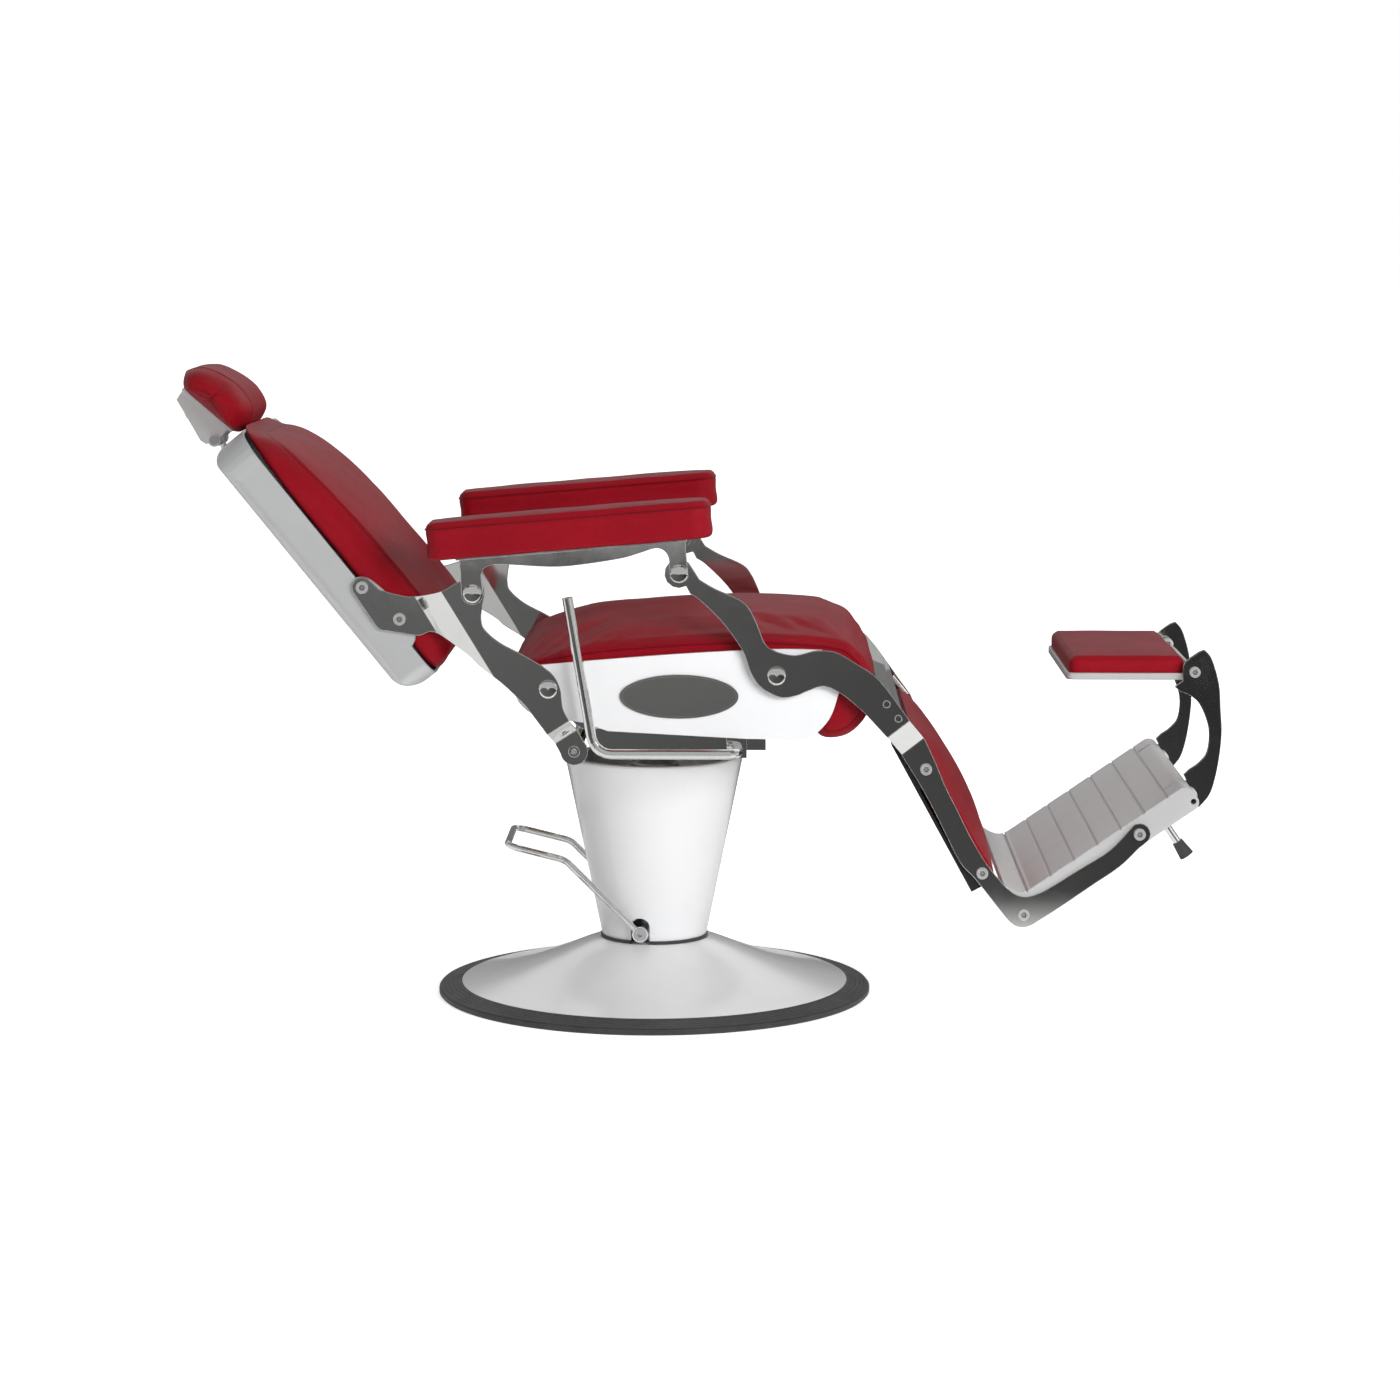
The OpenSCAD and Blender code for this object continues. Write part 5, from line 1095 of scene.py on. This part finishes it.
class CHAIR_OT_stage(bpy.types.Operator):
    """White floor and background, soft light, dark glowing cards that paint reflections on the polished plates,
    and the camera
    """

    bl_idname = "chair.stage"
    bl_label = "Stage"

    def execute(self, context):
        scene = context.scene
        s = scene.chair_stage
        scene.view_settings.view_transform = "Standard"
        stage_plane("studio_floor", (-14, -14), (14, 30), -0.0005, floor_material())
        hidden = {"camera": False, "diffuse": False, "shadow": False, "transmission": False}
        # front and rear cards glow only in reflections: painted reflections that darken the polished plates
        stage_plane("front_card", (-3.2, -9), (3.2, -0.75), 0.003, card_material("front_card", 1), **hidden)
        stage_plane("rear_card", (-3.2, 0.75), (3.2, 9), 0.003, card_material("rear_card", -1), **hidden)
        # back wall and roof glow only in reflections: painted reflections, white high up for the metals'
        # highlights
        wall = stage_plane(
            "back_wall", (-7, -4), (7, 4), 0, wall_material("back_wall", s.wall, 2.2, 3.2), **hidden)
        wall.data.transform(Matrix.Translation((0, 7, 3.6)) @ Matrix.Rotation(math.radians(90), 4, "X"))
        stage_plane("roof", (-7, -5), (7, 7.5), 5.4, wall_material("roof", s.wall), **hidden)
        world = bpy.data.worlds.new("studio")
        scene.world = world
        world.use_nodes = True
        tree = world.node_tree
        tree.nodes.clear()
        strength = spread(tree, seen_share(tree, s.shine), 0.0, 1.0, s.sky, 1.0)
        sky = add(tree, "Background", inputs={"Color": (1, 1, 1, 1), "Strength": strength})
        tree.links.new(sky.outputs[0], add(tree, "OutputWorld").inputs["Surface"])
        for lamp in (
            ("key", (2.5, -4.1, 1.8), (0.0, 0, 0.45), (2.4, 1.6), s.key, False),
            ("strip", (3.3, -2.2, 1.2), (0.3, 0, 0.5), (0.35, 2.2), s.key * 0.045, True),
            ("left_strip", (-3.6, -2.0, 1.3), (-0.3, 0, 0.5), (0.3, 2.0), s.key * 0.025, True),
            ("top", (0.0, 0.3, 3.6), (0, 0, 0.3), (3.0, 2.4), s.top, False),
            ("fill", (-2.8, -3.4, 1.6), (-0.2, 0, 0.5), (2.0, 2.0), s.key * 0.06, False),
            ("behind", (0.5, 3.8, 2.4), (0, 0, 0.4), (3.0, 2.0), s.key * 0.12, False),
        ):
            area_lamp(*lamp)
        eye = bpy.data.cameras.new("camera")
        eye.lens = s.lens
        eye.sensor_width = 36
        eye.clip_end = 100
        holder = bpy.data.objects.new("camera", eye)
        scene.collection.objects.link(holder)
        holder.location = s.camera_at
        holder.rotation_euler = s.camera_turn
        scene.camera = holder
        return {"FINISHED"}


class CHAIR_PT_panel(bpy.types.Panel):
    """Steps that dress the barber chair"""

    bl_label = "Barber chair"
    bl_idname = "CHAIR_PT_panel"
    bl_space_type = "VIEW_3D"
    bl_region_type = "UI"
    bl_category = "Barber chair"

    def draw(self, context):
        for group in ("chair_finishes", "chair_sizes", "chair_stage"):
            settings = getattr(context.scene, group)
            box = self.layout.box()
            for key in settings.__annotations__:
                box.prop(settings, key)
        for step in STEPS:
            self.layout.operator(step.bl_idname)


STEPS = (
    CHAIR_OT_stage,
    CHAIR_OT_finishes,
    CHAIR_OT_seat_cushion,
    CHAIR_OT_back_cushion,
    CHAIR_OT_headrest,
    CHAIR_OT_calf_cushion,
    CHAIR_OT_foot_cushion,
    CHAIR_OT_arm_pads,
)
GROUPS = {"chair_finishes": ChairFinishes, "chair_sizes": ChairSizes, "chair_stage": ChairStage}


def register():
    for cls in (*GROUPS.values(), *STEPS, CHAIR_PT_panel):
        bpy.utils.register_class(cls)
    for name, cls in GROUPS.items():
        setattr(bpy.types.Scene, name, bpy.props.PointerProperty(type=cls))


def unregister():
    for name in GROUPS:
        delattr(bpy.types.Scene, name)
    for cls in reversed((*GROUPS.values(), *STEPS, CHAIR_PT_panel)):
        bpy.utils.unregister_class(cls)


def main():
    register()
    for step in STEPS:
        area, name = step.bl_idname.split(".")
        getattr(getattr(bpy.ops, area), name)()


if __name__ == "__main__":
    main()
